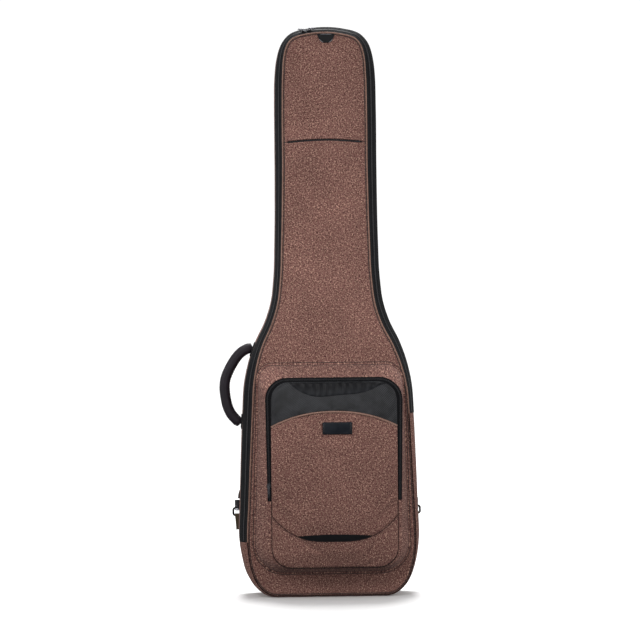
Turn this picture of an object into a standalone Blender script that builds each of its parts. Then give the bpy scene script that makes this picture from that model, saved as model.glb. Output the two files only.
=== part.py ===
"""Padded gig bag for an electric bass, standing upright: a zipped front cover, an accessory pocket with its
own zipped flap, a side handle and two shoulder straps. Metres, +Z up, the front faces -Y, and the origin is
the middle of the flat base."""

import math

import bmesh
import bpy
from mathutils import Vector

# Right-hand half of the outline seen from the front, (x, z), from the end of the flat base to the top centre.
BASE_HALF = 0.124
SIDE_POINTS = (
    (BASE_HALF, 0.0),
    (0.1545, 0.0125),
    (0.1735, 0.0350),
    (0.1885, 0.0740),
    (0.1963, 0.121),
    (0.1945, 0.205),
    (0.1910, 0.310),
    (0.1870, 0.402),
    (0.1815, 0.473),
    (0.1710, 0.519),
    (0.1560, 0.5605),
    (0.1350, 0.604),
    (0.1220, 0.645),
    (0.1150, 0.700),
    (0.1120, 0.780),
    (0.1100, 0.940),
    (0.1097, 1.080),
    (0.1080, 1.150),
    (0.1030, 1.188),
    (0.0930, 1.217),
    (0.0760, 1.2355),
    (0.0450, 1.2455),
    (0.0, 1.2500),
)
OUTLINE_STEPS = 8
CORNER_SPANS = (0, 1, 2, 3, 17, 18, 19, 20, 21)

# Depth of the bag. The body is deeper than the neck.
BACK_Y = 0.048
BODY_FRONT_Y = -0.048
NECK_FRONT_Y = -0.030
NECK_BEGINS_Z = 0.42
NECK_ENDS_Z = 0.80
WALL = 0.010
LINING = 0.0015
GAP = 0.0003

# The band between the side wall and the front panel, which holds the main zip.
BAND_DEPTH = 0.0235
BAND_INSETS = (
    (0.0, 0.004),
    (0.06, 0.008),
    (0.14, 0.0125),
    (0.35, 0.0150),
    (0.75, 0.0155),
    (0.95, 0.0175),
    (1.15, 0.0175),
    (1.25, 0.0125),
)
TAPE = 0.0018
TEETH_FOOT = -0.0010
TEETH_HEIGHT = 0.0016
ZIP_RIGHT_END_Z = 0.402
ZIP_LEFT_END_Z = 0.121
PIPING_RADIUS = 0.0020
BACK_BEAD = (0.0025, BACK_Y + 0.0026)
BACK_BEAD_RADIUS = 0.0021

# Where each strip lies across the band, from 0 at the side wall to 1 at the front panel.
REAR_TAPE = (0.080, 0.440)
REAR_TEETH = (0.453, 0.494)
FRONT_TEETH = (0.506, 0.547)
FRONT_TAPE = (0.560, 0.890)
SEWN_STRIP = (0.100, 0.890)
PANEL_GAP = 0.0026

# Padding.
PANEL = 0.006
BODY_CROWN = 0.013
NECK_CROWN = 0.009
BACK_CROWN = 0.005
BACK_PANEL_Y = 0.0565

# Accessory pocket on the front panel.
POCKET_LEAN = 0.006
POCKET_FRONT_Y = -0.131
POCKET_WALL = 0.0025
POCKET_BASE = {
    "half_top": 0.158,
    "half_bottom": 0.168,
    "low": 0.057,
    "high": 0.510,
    "r_top": 0.036,
    "r_bottom": 0.062,
}
POCKET_FACE = {
    "half_top": 0.150,
    "half_bottom": 0.145,
    "low": 0.066,
    "high": 0.4845,
    "r_top": 0.050,
    "r_bottom": 0.044,
}
POCKET_ZIP_WIDTH = 0.0100
POCKET_ZIP_END_Z = 0.2130
FLAP_HINGE_Z = 0.2135
FLAP_HALF = 0.1372
FLAP_CROWN = 0.011
ARCH_TOP_Z = 0.407
ARCH_DROP = 0.033
LOWER_ARC_Z = 0.1243
LOWER_ARC_RISE = 0.056
POUCH_DEPTH = 0.012
POUCH_FLOOR_Z = 0.076
POUCH_TOP_Z = 0.200
POUCH_HALF = 0.088
POUCH_CUT_Y = -0.120

# Head pocket on the upper front.
HEAD_SLOT_Z = 0.9945
HEAD_SLOT_RISE = 0.005
HEAD_SLOT_HEIGHT = 0.0055
HEAD_SLOT_HALF = 0.084

# Side handle, centre line in the XZ plane.
HANDLE_POINTS = (
    (-0.1790, 0.5385),
    (-0.1950, 0.5290),
    (-0.2140, 0.5030),
    (-0.2235, 0.4720),
    (-0.2225, 0.4390),
    (-0.2145, 0.4120),
    (-0.2015, 0.3930),
)
HANDLE_RADIUS = 0.0115
HANDLE_TOP = Vector((-0.1700, 0.0, 0.5425))
HANDLE_LOW = Vector((-0.1950, 0.0, 0.3840))
HANDLE_ANCHOR = (0.034, 0.030, 0.0020)

# Shoulder straps, for the right-hand side of the bag.
STRAP_HINGE = Vector((0.0, 0.0690, 0.8000))
STRAP_PAD_POINTS = ((0.038, 0.7960), (0.046, 0.730), (0.062, 0.630), (0.079, 0.530), (0.088, 0.450))
STRAP_PAD_Y = 0.0640
STRAP_PAD_THICK = 0.0130
WEBBING_POINTS = ((0.088, 0.470), (0.094, 0.400), (0.122, 0.320), (0.170, 0.2500), (0.1985, 0.2080))
WEBBING_WIDTH = 0.0250
RING_X = 0.1985
RING_Y = 0.0630
RING_LOW_Z = 0.172
RING_HIGH_Z = 0.188
RING_HALF = 0.0100
WIRE = 0.0013
LADDER_LOCK = (0.0360, 0.0240, 0.0066)
LOCK_TUNNEL = (0.0280, 0.0400, 0.0030)
LADDER_LOCK_Z = 0.410

# Sizes of the sliders and their pulls: along, across, thickness.
MAIN_SLIDER = (0.0090, 0.0090, 0.0036)
MAIN_PULL = (0.0150, 0.0050, 0.0014)
SMALL_SLIDER = (0.0110, 0.0075, 0.0030)
POCKET_PULL = (0.0260, 0.0060, 0.0018)
HEAD_SLIDER_SIZE = (0.0090, 0.0036, 0.0016)
SLIDER_TAPER = 0.7

FABRIC = (0.20, 0.12, 0.10)
BLACK_FABRIC = (0.025, 0.025, 0.03)
BLACK_TAPE = (0.02, 0.02, 0.022)
PIPING = (0.26, 0.17, 0.14)
LINING_GREY = (0.10, 0.10, 0.11)
FOAM = (0.12, 0.12, 0.12)
METAL = (0.30, 0.30, 0.31)
PLASTIC = (0.03, 0.03, 0.03)


# Curves


def smooth(points, steps, first=None, last=None):
    """A curve through the points in this many steps a span. first and last are its end directions."""
    points = [Vector(point) for point in points]
    spans = [(b - a).length for a, b in zip(points, points[1:])]
    slopes = [(b - a) / span for a, b, span in zip(points, points[1:], spans)]
    inner = [
        (before * b + after * a) / (a + b)
        for before, after, a, b in zip(slopes, slopes[1:], spans, spans[1:])
    ]
    tangents = [Vector(first or slopes[0])] + inner + [Vector(last or slopes[-1])]
    curve = [points[0]]
    for i, span in enumerate(spans):
        for step in range(1, steps + 1):
            t = step / steps
            curve.append(
                points[i] * (1 - 3 * t**2 + 2 * t**3)
                + tangents[i] * span * (t - 2 * t**2 + t**3)
                + points[i + 1] * (3 * t**2 - 2 * t**3)
                + tangents[i + 1] * span * (t**3 - t**2)
            )
    return curve


def ease(t):
    """0 below 0, 1 above 1 and a smooth rise between them."""
    t = min(max(t, 0.0), 1.0)
    return t * t * (3 - 2 * t)


def table(pairs, z):
    """The value that the (z, value) pairs give at z, straight between them."""
    for (low, a), (high, b) in zip(pairs, pairs[1:]):
        if z <= high:
            return a + (b - a) * (max(z, low) - low) / (high - low)
    return pairs[-1][1]


def spaced(start, stop, count):
    return [start + (stop - start) * i / (count - 1) for i in range(count)]


# The bag's outline: u runs 0 to 1 from the middle of the base up the right-hand side to the top centre, and
# the left-hand side is the same with the opposite sign.

SIDE = [Vector((0.0, 0.0))] + smooth(SIDE_POINTS, OUTLINE_STEPS, first=(1, 0), last=(-1, 0))
DISTANCES = [0.0]
for near, far in zip(SIDE, SIDE[1:]):
    DISTANCES.append(DISTANCES[-1] + (far - near).length)
SIDE_LENGTH = DISTANCES[-1]


def inward_at(i):
    """The direction into the bag at point i of the outline."""
    if i <= 1:
        return Vector((0.0, 1.0))
    along = (SIDE[min(i + 1, len(SIDE) - 1)] - SIDE[i - 1]).normalized()
    return Vector((-along.y, along.x)) if i < len(SIDE) - 1 else Vector((0.0, -1.0))


def edge_at(u):
    """The outline's point at u, and the direction from it into the bag."""
    u = (u + 1) % 2 - 1
    side = -1 if u < 0 else 1
    distance = min(abs(u) * SIDE_LENGTH, SIDE_LENGTH)
    i = next(i for i in range(1, len(SIDE)) if distance <= DISTANCES[i] + 1e-12)
    t = (distance - DISTANCES[i - 1]) / (DISTANCES[i] - DISTANCES[i - 1])
    point = SIDE[i - 1].lerp(SIDE[i], t)
    inward = inward_at(i - 1).lerp(inward_at(i), t).normalized()
    return Vector((side * point.x, point.y)), Vector((side * inward.x, inward.y))


def u_at(z):
    """Where the right-hand side of the outline reaches the height z."""
    for i in range(2, len(SIDE)):
        if SIDE[i].y >= z:
            t = (z - SIDE[i - 1].y) / (SIDE[i].y - SIDE[i - 1].y)
            return (DISTANCES[i - 1] + t * (DISTANCES[i] - DISTANCES[i - 1])) / SIDE_LENGTH
    return 1.0


def half_width(z):
    return edge_at(u_at(z))[0].x


# Every strip and panel bends at these same stations, so that neighbours keep their gaps between them. They
# are closer together round the corners.
AT_POINTS = [1 + OUTLINE_STEPS * i for i in range(len(SIDE_POINTS))]
HALFWAY = [AT_POINTS[i] + OUTLINE_STEPS // 2 for i in CORNER_SPANS]
RIGHT_SIDE = [DISTANCES[i] / SIDE_LENGTH for i in sorted(AT_POINTS + HALFWAY)][:-1]
AROUND = RIGHT_SIDE + [1.0] + [2 - u for u in reversed(RIGHT_SIDE)]
ZIP_ARC = [u for u in AROUND if u_at(ZIP_RIGHT_END_Z) - 1e-6 < u < 2 - u_at(ZIP_LEFT_END_Z) + 1e-6]
ZIP_END_GAP = 0.0008
SEWN_ARC = [ZIP_ARC[-1] - 2 + ZIP_END_GAP] + [u - 2 for u in AROUND if u > ZIP_ARC[-1]]
SEWN_ARC += [u for u in AROUND if u < ZIP_ARC[0]] + [ZIP_ARC[0] - ZIP_END_GAP]


def from_body_to_neck(body, neck, z):
    return body + (neck - body) * ease((z - NECK_BEGINS_Z) / (NECK_ENDS_Z - NECK_BEGINS_Z))


def front_y(z):
    """The front edge of the side wall."""
    return from_body_to_neck(BODY_FRONT_Y, NECK_FRONT_Y, z)


def band(z, t, h):
    """(inset, y) at t across the zip band, 0 at the side wall and 1 at the front panel, and h out of it."""
    inset = table(BAND_INSETS, z)
    length = math.hypot(inset, BAND_DEPTH)
    return inset * t - h * BAND_DEPTH / length, front_y(z) - BAND_DEPTH * t - h * inset / length


def panel_y(x, z):
    """The outer face of the padded front panel."""
    half = half_width(z) - table(BAND_INSETS, z) - PANEL_GAP
    across = 1 - min(abs(x) / half, 1.0) ** 3
    ends = ease(z / 0.08) * ease((1.237 - z) / 0.06)
    crown = from_body_to_neck(BODY_CROWN, NECK_CROWN, z)
    return front_y(z) - BAND_DEPTH - 0.001 - crown * across * ends


def back_y(x, z):
    """The outer face of the back panel."""
    across = 1 - min(abs(x) / half_width(z), 1.0) ** 3
    ends = ease(z / 0.08) * ease((1.24 - z) / 0.06)
    return BACK_PANEL_Y + BACK_CROWN * across * ends


# Mesh building

PIVOTS = {}


def pivot(name, point, parent=None):
    """An empty on a joint's axis, which holds the pieces that move with the joint."""
    empty = bpy.data.objects.new(name + "_pivot", None)
    bpy.context.scene.collection.objects.link(empty)
    empty.location = Vector(point) - (PIVOTS[parent][1] if parent else Vector())
    empty.parent = PIVOTS[parent][0] if parent else None
    PIVOTS[name] = (empty, Vector(point))


def finish(bm, name, colour, body, roughness=0.8, metallic=0.0):
    """The object, from a bmesh whose points are in world space, held by its body's pivot."""
    bmesh.ops.recalc_face_normals(bm, faces=bm.faces)
    empty, origin = PIVOTS[body] if body else (None, Vector())
    bmesh.ops.translate(bm, verts=bm.verts, vec=-origin)
    mesh = bpy.data.meshes.new(name)
    bm.to_mesh(mesh)
    bm.free()
    mesh.shade_smooth()
    mesh.set_sharp_from_angle(angle=math.radians(40))
    material = bpy.data.materials.new(name)
    material.use_nodes = True
    shader = material.node_tree.nodes["Principled BSDF"]
    shader.inputs["Base Color"].default_value = (*colour, 1)
    shader.inputs["Roughness"].default_value = roughness
    shader.inputs["Metallic"].default_value = metallic
    mesh.materials.append(material)
    piece = bpy.data.objects.new(name, mesh)
    bpy.context.scene.collection.objects.link(piece)
    piece.parent = empty
    return piece


def join_rows(bm, rows):
    """Faces between each loop of corners and the next."""
    for a, b in zip(rows, rows[1:]):
        for i in range(len(a)):
            j = (i + 1) % len(a)
            bm.faces.new((a[i], a[j], b[j], b[i]))


def lofted(name, sections, colour, body, closed=False, **look):
    """A solid through the sections, each a loop of points in world space. closed joins the ends."""
    bm = bmesh.new()
    rows = [[bm.verts.new(point) for point in section] for section in sections]
    join_rows(bm, rows + rows[:1] if closed else rows)
    if not closed:
        bm.faces.new(rows[0])
        bm.faces.new(rows[-1])
    return finish(bm, name, colour, body, **look)


def slab(name, fronts, backs, colour, body, **look):
    """A solid between two grids of points, which have the same rows and columns."""
    bm = bmesh.new()
    grids = [[[bm.verts.new(point) for point in row] for row in grid] for grid in (fronts, backs)]
    for grid in grids:
        for a, b in zip(grid, grid[1:]):
            for j in range(len(a) - 1):
                bm.faces.new((a[j], a[j + 1], b[j + 1], b[j]))
    rims = [
        grid[0] + [row[-1] for row in grid[1:]] + grid[-1][-2::-1] + [row[0] for row in grid[-2:0:-1]]
        for grid in grids
    ]
    for i in range(len(rims[0])):
        j = (i + 1) % len(rims[0])
        bm.faces.new((rims[0][i], rims[0][j], rims[1][j], rims[1][i]))
    return finish(bm, name, colour, body, **look)


def prism(name, profile, axis, low, high, colour, body, **look):
    """The profile, a loop of pairs, stretched from low to high along the axis X, Y or Z."""
    orders = {
        "X": lambda a, b, h: (h, a, b),
        "Y": lambda a, b, h: (a, h, b),
        "Z": lambda a, b, h: (a, b, h),
    }
    order = orders[axis]
    sections = [[order(a, b, h) for a, b in profile] for h in (low, high)]
    return lofted(name, sections, colour, body, **look)


def cut(piece, *cutters):
    """Takes the cutters out of the piece."""
    for cutter in cutters:
        cutter.hide_render = True
        cutter.display_type = "WIRE"
        boolean = piece.modifiers.new("cut", "BOOLEAN")
        boolean.operation = "DIFFERENCE"
        boolean.object = cutter


def tube_sections(path, radii, sides, up):
    """Round sections along a path of 3-D points. up is a direction that the path never takes."""
    sections = []
    for i, point in enumerate(path):
        along = (path[min(i + 1, len(path) - 1)] - path[max(i - 1, 0)]).normalized()
        right = along.cross(up).normalized()
        over = right.cross(along)
        turns = [2 * math.pi * k / sides for k in range(sides)]
        sections.append([point + (right * math.cos(a) + over * math.sin(a)) * radii[i] for a in turns])
    return sections


# Pieces that follow the bag's outline


def around(name, section, stations, colour, body, closed=False, **look):
    """A strip along the outline. section gives its corners at a height, as (inset, y)."""
    sections = []
    for u in stations:
        point, inward = edge_at(u)
        corners = [(point + inward * inset, y) for inset, y in section(point.y)]
        sections.append([(flat.x, y, flat.y) for flat, y in corners])
    return lofted(name, sections, colour, body, closed, **look)


def strip(t_low, t_high, low=-TAPE, high=0.0):
    """The section of a strip that lies in the zip band."""
    corners = ((t_low, low), (t_low, high), (t_high, high), (t_high, low))
    return lambda z: [band(z, t, h) for t, h in corners]


def bead(inset_and_y, radius, sides=6):
    """A round section about the point that inset_and_y gives."""

    def section(z):
        inset, y = inset_and_y(z)
        turns = [2 * math.pi * (k + 0.5) / sides for k in range(sides)]
        return [(inset + radius * math.cos(a), y + radius * math.sin(a)) for a in turns]

    return section


def panel(name, inset, outer, inner, colour, body, columns=9, **look):
    """A panel of the bag's outline moved in by inset, between the faces outer(x, z) and inner(x, z)."""
    fronts = []
    backs = []
    for u in RIGHT_SIDE:
        point, inward = edge_at(u)
        corner = point + inward * (inset(point.y) if callable(inset) else inset)
        bulge = (SIDE[-1].y - point.y) if u == RIGHT_SIDE[-1] else 0.0
        front = []
        back = []
        for t in spaced(-1, 1, columns):
            t = math.sin(t * math.pi / 2)
            x = corner.x * t
            z = corner.y + bulge * (1 - t * t)
            front.append((x, outer(x, z), z))
            back.append((x, inner(x, z), z))
        fronts.append(front)
        backs.append(back)
    return slab(name, fronts, backs, colour, body, **look)


# The bodies that move. Each empty is on its joint's axis.


def zip_top(x):
    """A point on the main zip over the top of the bag, the way along the tape, and the way out of it."""
    u = next(u for u in spaced(1.0, 1.08, 400) if edge_at(u)[0].x <= x)
    edge, _ = edge_at(u)
    inset, y = band(edge.y, 0.5, 0.0)
    deep, deep_y = band(edge.y, 0.5, -0.001)
    out = Vector((0, y - deep_y, deep - inset)).normalized()
    return Vector((edge.x, y, edge.y - inset)), out


HINGE = Vector((0.1968, BODY_FRONT_Y, 0.0))
FLAP_HINGE = Vector((0.0, POCKET_FRONT_Y - 0.0050 - FLAP_CROWN, FLAP_HINGE_Z))
MAIN_SLIDER_X = {"left": -0.0470, "right": -0.0350}
POCKET_SLIDER = Vector((-0.1375, POCKET_FRONT_Y - 0.0045, 0.2490))
HEAD_SLIDER = Vector((0.072, panel_y(0.0675, HEAD_SLOT_Z) + 0.0014, HEAD_SLOT_Z + 0.0039))


def add_pivots():
    pivot("lid", HINGE)
    pivot("pocket_flap", FLAP_HINGE, "lid")
    for side, x in MAIN_SLIDER_X.items():
        point, out = zip_top(x)
        pivot("main_slider_" + side, point, "lid")
        pivot("main_pull_" + side, point + out * 0.0076, "main_slider_" + side)
    pivot("head_slider", HEAD_SLIDER, "lid")
    pivot("pocket_slider", POCKET_SLIDER, "lid")
    pivot("pocket_pull", POCKET_SLIDER + Vector((0, -0.0042, -0.002)), "pocket_slider")
    pivot("side_handle", HANDLE_LOW)
    pivot("strap_left", STRAP_HINGE)
    pivot("strap_right", STRAP_HINGE)


# Back shell


def add_shell():
    around(
        "side_gusset",
        lambda z: [(0, front_y(z)), (0, BACK_Y), (WALL, BACK_Y), (WALL, front_y(z))],
        AROUND,
        FABRIC,
        None,
        closed=True,
    )
    low = WALL + GAP
    around(
        "gusset_lining",
        lambda z: [(low, front_y(z)), (low, 0.0342), (low + LINING, 0.0342), (low + LINING, front_y(z))],
        AROUND,
        LINING_GREY,
        None,
        closed=True,
    )
    panel("back_panel", 0.0052, back_y, lambda x, z: back_y(x, z) - 0.005, FABRIC, None)
    back_bead = bead(lambda z: BACK_BEAD, BACK_BEAD_RADIUS)
    around("back_piping", back_bead, AROUND, PIPING, None, closed=True)
    panel("back_foam", 0.0110, lambda x, z: back_y(x, z) - 0.0060, lambda x, z: 0.0362, FOAM, None)
    panel("back_lining", 0.0110, lambda x, z: 0.0359, lambda x, z: 0.0345, LINING_GREY, None, columns=5)
    around("zip_tape_rear", strip(*REAR_TAPE), ZIP_ARC, BLACK_TAPE, None)
    teeth = strip(*REAR_TEETH, TEETH_FOOT, TEETH_HEIGHT)
    around("zip_teeth_rear", teeth, ZIP_ARC, METAL, None, roughness=0.4)


def add_inside():
    cradle = (
        (-0.094, 0.0339),
        (-0.094, -0.008),
        (-0.036, -0.008),
        (-0.028, 0.022),
        (0.028, 0.022),
        (0.036, -0.008),
        (0.094, -0.008),
        (0.094, 0.0339),
    )
    prism("neck_cradle", cradle, "Z", 0.860, 0.975, FOAM, None)
    columns = spaced(-0.066, 0.066, 9)
    bow = [-0.0088 - 0.006 * math.cos(x / 0.066 * math.pi / 2) for x in columns]
    fronts = [[(x, y - 0.002, z) for x, y in zip(columns, bow)] for z in (0.900, 0.935)]
    backs = [[(x, y, z) for x, y in zip(columns, bow)] for z in (0.900, 0.935)]
    slab("neck_strap", fronts, backs, BLACK_FABRIC, None)
    low = WALL + LINING + 2 * GAP
    rest = ((-0.108, low), (0.108, low), (0.108, 0.046), (0.022, 0.046), (0.022, 0.026))
    rest += ((-0.022, 0.026), (-0.022, 0.046), (-0.108, 0.046))
    prism("end_block", rest, "Y", -0.040, 0.0335, FOAM, None)


# Front cover


def band_inset(more):
    return lambda z: table(BAND_INSETS, z) + more


def add_lid():
    face = panel(
        "front_panel",
        band_inset(PANEL_GAP),
        panel_y,
        lambda x, z: panel_y(x, z) + PANEL,
        FABRIC,
        "lid",
        columns=11,
    )
    xs = spaced(-HEAD_SLOT_HALF, HEAD_SLOT_HALF, 9)
    slot = []
    for x in xs:
        z = HEAD_SLOT_Z + HEAD_SLOT_RISE * (1 - (x / HEAD_SLOT_HALF) ** 2)
        high = z + HEAD_SLOT_HEIGHT
        y = panel_y(x, z)
        slot.append([(x, y - 0.01, z), (x, y + 0.0042, z), (x, y + 0.0042, high), (x, y - 0.01, high)])
    cut(face, lofted("head_slot_cutter", slot, FABRIC, "lid"))
    tape = []
    for section in slot:
        x, y, z = section[1]
        x *= 0.985
        deep = y - 0.0006
        low = z + GAP
        high = z + HEAD_SLOT_HEIGHT - GAP
        tape.append([(x, deep - 0.0012, low), (x, deep, low), (x, deep, high), (x, deep - 0.0012, high)])
    lofted("head_pocket_zip", tape, BLACK_TAPE, "lid")
    panel(
        "front_foam",
        band_inset(0.0040),
        lambda x, z: panel_y(x, z) + PANEL + 0.0012,
        lambda x, z: front_y(z) - 0.0066,
        FOAM,
        "lid",
        columns=11,
    )
    panel(
        "front_lining",
        band_inset(0.0040),
        lambda x, z: front_y(z) - 0.0062,
        lambda x, z: front_y(z) - 0.0047,
        LINING_GREY,
        "lid",
        columns=5,
    )
    front_bead = bead(lambda z: band(z, 1.0, 0.0), PIPING_RADIUS)
    around("front_piping", front_bead, AROUND, PIPING, "lid", closed=True)
    around("zip_tape_front", strip(*FRONT_TAPE), ZIP_ARC, BLACK_TAPE, "lid")
    teeth = strip(*FRONT_TEETH, TEETH_FOOT, TEETH_HEIGHT)
    around("zip_teeth_front", teeth, ZIP_ARC, METAL, "lid", roughness=0.4)
    around("sewn_gusset", strip(*SEWN_STRIP), SEWN_ARC, FABRIC, "lid")
    levels = ((1.2145, 0.011), (1.2180, 0.0135), (1.2290, 0.0185), (1.2345, 0.0195))
    fronts = [[(x, panel_y(x, z) - 0.0028, z) for x in spaced(-half, half, 5)] for z, half in levels]
    backs = [[(x, panel_y(x, z) - 0.0008, z) for x in spaced(-half, half, 5)] for z, half in levels]
    slab("hang_tab", fronts, backs, BLACK_FABRIC, "lid")


# Accessory pocket


def rounded(half_top, half_bottom, low, high, r_top, r_bottom, shift=0.0, steps=7):
    """A rounded outline, wider at one end, from near the middle of its lower edge up the right-hand side."""
    right = [((half_bottom - r_bottom) * share, low) for share in (1 / 6, 3 / 6, 5 / 6)]
    turns = [math.pi / 2 * i / steps for i in range(steps + 1)]
    for a in turns:
        right.append((half_bottom + r_bottom * (math.sin(a) - 1), low + r_bottom * (1 - math.cos(a))))
    to_zip = spaced(low + r_bottom, POCKET_ZIP_END_Z, 3)[1:]
    for z in to_zip + spaced(POCKET_ZIP_END_Z, high - r_top, 6)[1:-1]:
        share = (z - low - r_bottom) / (high - r_top - low - r_bottom)
        right.append((half_bottom + (half_top - half_bottom) * share, z))
    for a in turns:
        right.append((half_top + r_top * (math.cos(a) - 1), high + r_top * (math.sin(a) - 1)))
    right += [((half_top - r_top) * share, high) for share in (5 / 6, 3 / 6, 1 / 6)]
    return [Vector((shift + x, z)) for x, z in right] + [Vector((shift - x, z)) for x, z in reversed(right)]


def moved_in(outline, distance):
    """The closed outline moved inwards."""
    moved = []
    for i, point in enumerate(outline):
        along = (outline[(i + 1) % len(outline)] - outline[i - 1]).normalized()
        moved.append(point + Vector((-along.y, along.x)) * distance)
    return moved


def face_y(x, z):
    """The outer face of the pocket's flap and of the wall below it."""
    across = 1 - min(abs(x - POCKET_LEAN) / 0.150, 1.0) ** 2.5
    along = ease((z - 0.066) / 0.10) * ease((0.486 - z) / 0.09)
    return POCKET_FRONT_Y - 0.0045 - FLAP_CROWN * across * along


def arch(x):
    """The height of the curved seam across the flap."""
    return ARCH_TOP_Z - ARCH_DROP * (abs(x - POCKET_LEAN) / FLAP_HALF) ** 2.2


def lower_arc(x):
    """The height of the pouch's mouth."""
    return LOWER_ARC_Z + LOWER_ARC_RISE * (abs(x - POCKET_LEAN) / 0.141) ** 3.4


def add_pocket():
    base = rounded(**POCKET_BASE)
    face = rounded(**POCKET_FACE, shift=POCKET_LEAN)
    sections = []
    walls = zip(base, moved_in(base, POCKET_WALL), face, moved_in(face, POCKET_WALL))
    for low, low_in, high, high_in in walls:
        foot = panel_y(low.x, low.y) - 0.0012
        foot_in = min(foot, panel_y(low_in.x, low_in.y) - 0.0012)
        mid = low.lerp(high, 0.5) + (low - high) * 0.10
        mid_in = low_in.lerp(high_in, 0.5) + (low - high) * 0.10
        mid_y = (foot + POCKET_FRONT_Y) / 2
        sections.append(
            [
                (low.x, foot, low.y),
                (mid.x, mid_y, mid.y),
                (high.x, POCKET_FRONT_Y, high.y),
                (high_in.x, POCKET_FRONT_Y, high_in.y),
                (mid_in.x, mid_y, mid_in.y),
                (low_in.x, foot_in, low_in.y),
            ]
        )
    lofted("pocket_gusset", sections, FABRIC, "lid", closed=True)
    inner = moved_in(face, POCKET_ZIP_WIDTH)
    outer = moved_in(face, 0.0004)
    first = next(i for i, point in enumerate(face) if point.y > POCKET_ZIP_END_Z - 1e-6)
    last = len(face) - 1 - first
    deep, high = POCKET_FRONT_Y - GAP, POCKET_FRONT_Y - 0.0025
    tape = [
        [(a.x, deep, a.y), (a.x, high, a.y), (b.x, high, b.y), (b.x, deep, b.y)]
        for a, b in zip(outer[first : last + 1], inner[first : last + 1])
    ]
    lofted("pocket_zip", tape, BLACK_TAPE, "lid")
    line = moved_in(face, -0.0010)
    lower = line[last + 1 :] + line[:first]
    path = [Vector((point.x, POCKET_FRONT_Y - 0.0032, point.y)) for point in lower]
    lofted("pocket_piping", tube_sections(path, [0.0014] * len(path), 6, Vector((0, 1, 0))), PIPING, "lid")


def grid(xs, low, high, rows, face, depth):
    """The front and back grids of a sheet over xs, from low(x) up to high(x), with outer face face(x, z)."""
    fronts = []
    backs = []
    for x in xs:
        zs = spaced(low(x), high(x), rows)
        fronts.append([(x, face(x, z), z) for z in zs])
        backs.append([(x, face(x, z) + depth, z) for z in zs])
    return fronts, backs


def corner_columns(half, radius, count=5):
    """Positions across a sheet with rounded corners, closer together at the corners."""
    ends = [half - radius + radius * math.sin(math.pi / 2 * i / count) for i in range(1, count + 1)]
    middle = spaced(-(half - radius), half - radius, 9)
    return [POCKET_LEAN + x for x in [-x for x in reversed(ends)] + middle + ends]


def add_flap():
    top = POCKET_FACE["high"] - POCKET_ZIP_WIDTH - GAP
    radius = POCKET_FACE["r_top"] - POCKET_ZIP_WIDTH

    def flap_top(x):
        over = max(abs(x - POCKET_LEAN) - (FLAP_HALF - radius), 0.0)
        return top - radius + math.sqrt(max(radius**2 - over**2, 0.0))

    columns = corner_columns(FLAP_HALF, radius)
    body = "pocket_flap"
    window = grid(columns, lambda x: arch(x) + 0.0024, flap_top, 4, face_y, 0.0035)
    slab("flap_window", *window, BLACK_FABRIC, body, roughness=0.45)
    face = grid(columns, lambda x: FLAP_HINGE_Z, lambda x: arch(x) - 0.0024, 7, face_y, 0.0035)
    slab("flap_face", *face, FABRIC, body)
    path = [Vector((x, face_y(x, arch(x)) + 0.0008, arch(x))) for x in columns]
    lofted("flap_piping", tube_sections(path, [0.0019] * len(path), 6, Vector((0, 1, 0))), PIPING, body)
    x = POCKET_LEAN + 0.0066
    xs = spaced(x - 0.0323, x + 0.0323, 5)
    label = grid(xs, lambda x: 0.3565, lambda x: 0.3835, 3, lambda x, z: face_y(x, z) - 0.0026, 0.0020)
    slab("label_patch", *label, (0.02, 0.022, 0.028), body, roughness=0.5)


def add_lower_wall():
    radius = POCKET_FACE["r_bottom"]
    half = POCKET_FACE["half_bottom"] - 0.0012

    def low_edge(x, more=0.0):
        over = max(abs(x - POCKET_LEAN) - (half - radius), 0.0)
        return POCKET_FACE["low"] + 0.0012 + more + radius - math.sqrt(max(radius**2 - over**2, 0.0))

    columns = corner_columns(half, radius)
    wall = grid(columns, low_edge, lambda x: FLAP_HINGE_Z - 0.0012, 7, face_y, 0.0035)
    slab("pocket_lower_wall", *wall, FABRIC, "lid")
    columns = corner_columns(half - 0.002, radius)

    def pouch_y(x, z):
        return face_y(x, z) - 0.0006 - POUCH_DEPTH * ease((z - 0.060) / 0.04)

    fronts, backs = grid(columns, lambda x: low_edge(x, 0.001), lower_arc, 5, pouch_y, 0.0)
    backs = [[(x, face_y(x, z) - 0.0006, z) for x, _, z in row] for row in backs]
    pouch = slab("pouch_panel", fronts, backs, FABRIC, "lid")
    hollow = []
    for x in spaced(POCKET_LEAN - POUCH_HALF, POCKET_LEAN + POUCH_HALF, 7):
        low = POUCH_FLOOR_Z + 0.022 * (abs(x - POCKET_LEAN) / POUCH_HALF) ** 3
        front = [(x, pouch_y(x, z) + POCKET_WALL, z) for z in spaced(POUCH_TOP_Z, low, 5)]
        hollow.append([*front, (x, POUCH_CUT_Y, low), (x, POUCH_CUT_Y, POUCH_TOP_Z)])
    cut(pouch, lofted("pouch_hollow_cutter", hollow, FABRIC, "lid"))


# Sliders and pulls


def block(name, centre, axes, sizes, colour, body, taper=1.0, **look):
    """A box about centre with its sides along the three axes. taper narrows its outer face."""
    a, b, c = (Vector(axis) * size / 2 for axis, size in zip(axes, sizes))
    low = [centre + a * i + b * j - c for i, j in ((-1, -1), (1, -1), (1, 1), (-1, 1))]
    high = [centre + (a * i + b * j) * taper + c for i, j in ((-1, -1), (1, -1), (1, 1), (-1, 1))]
    return lofted(name, [low, high], colour, body, **look)


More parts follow.
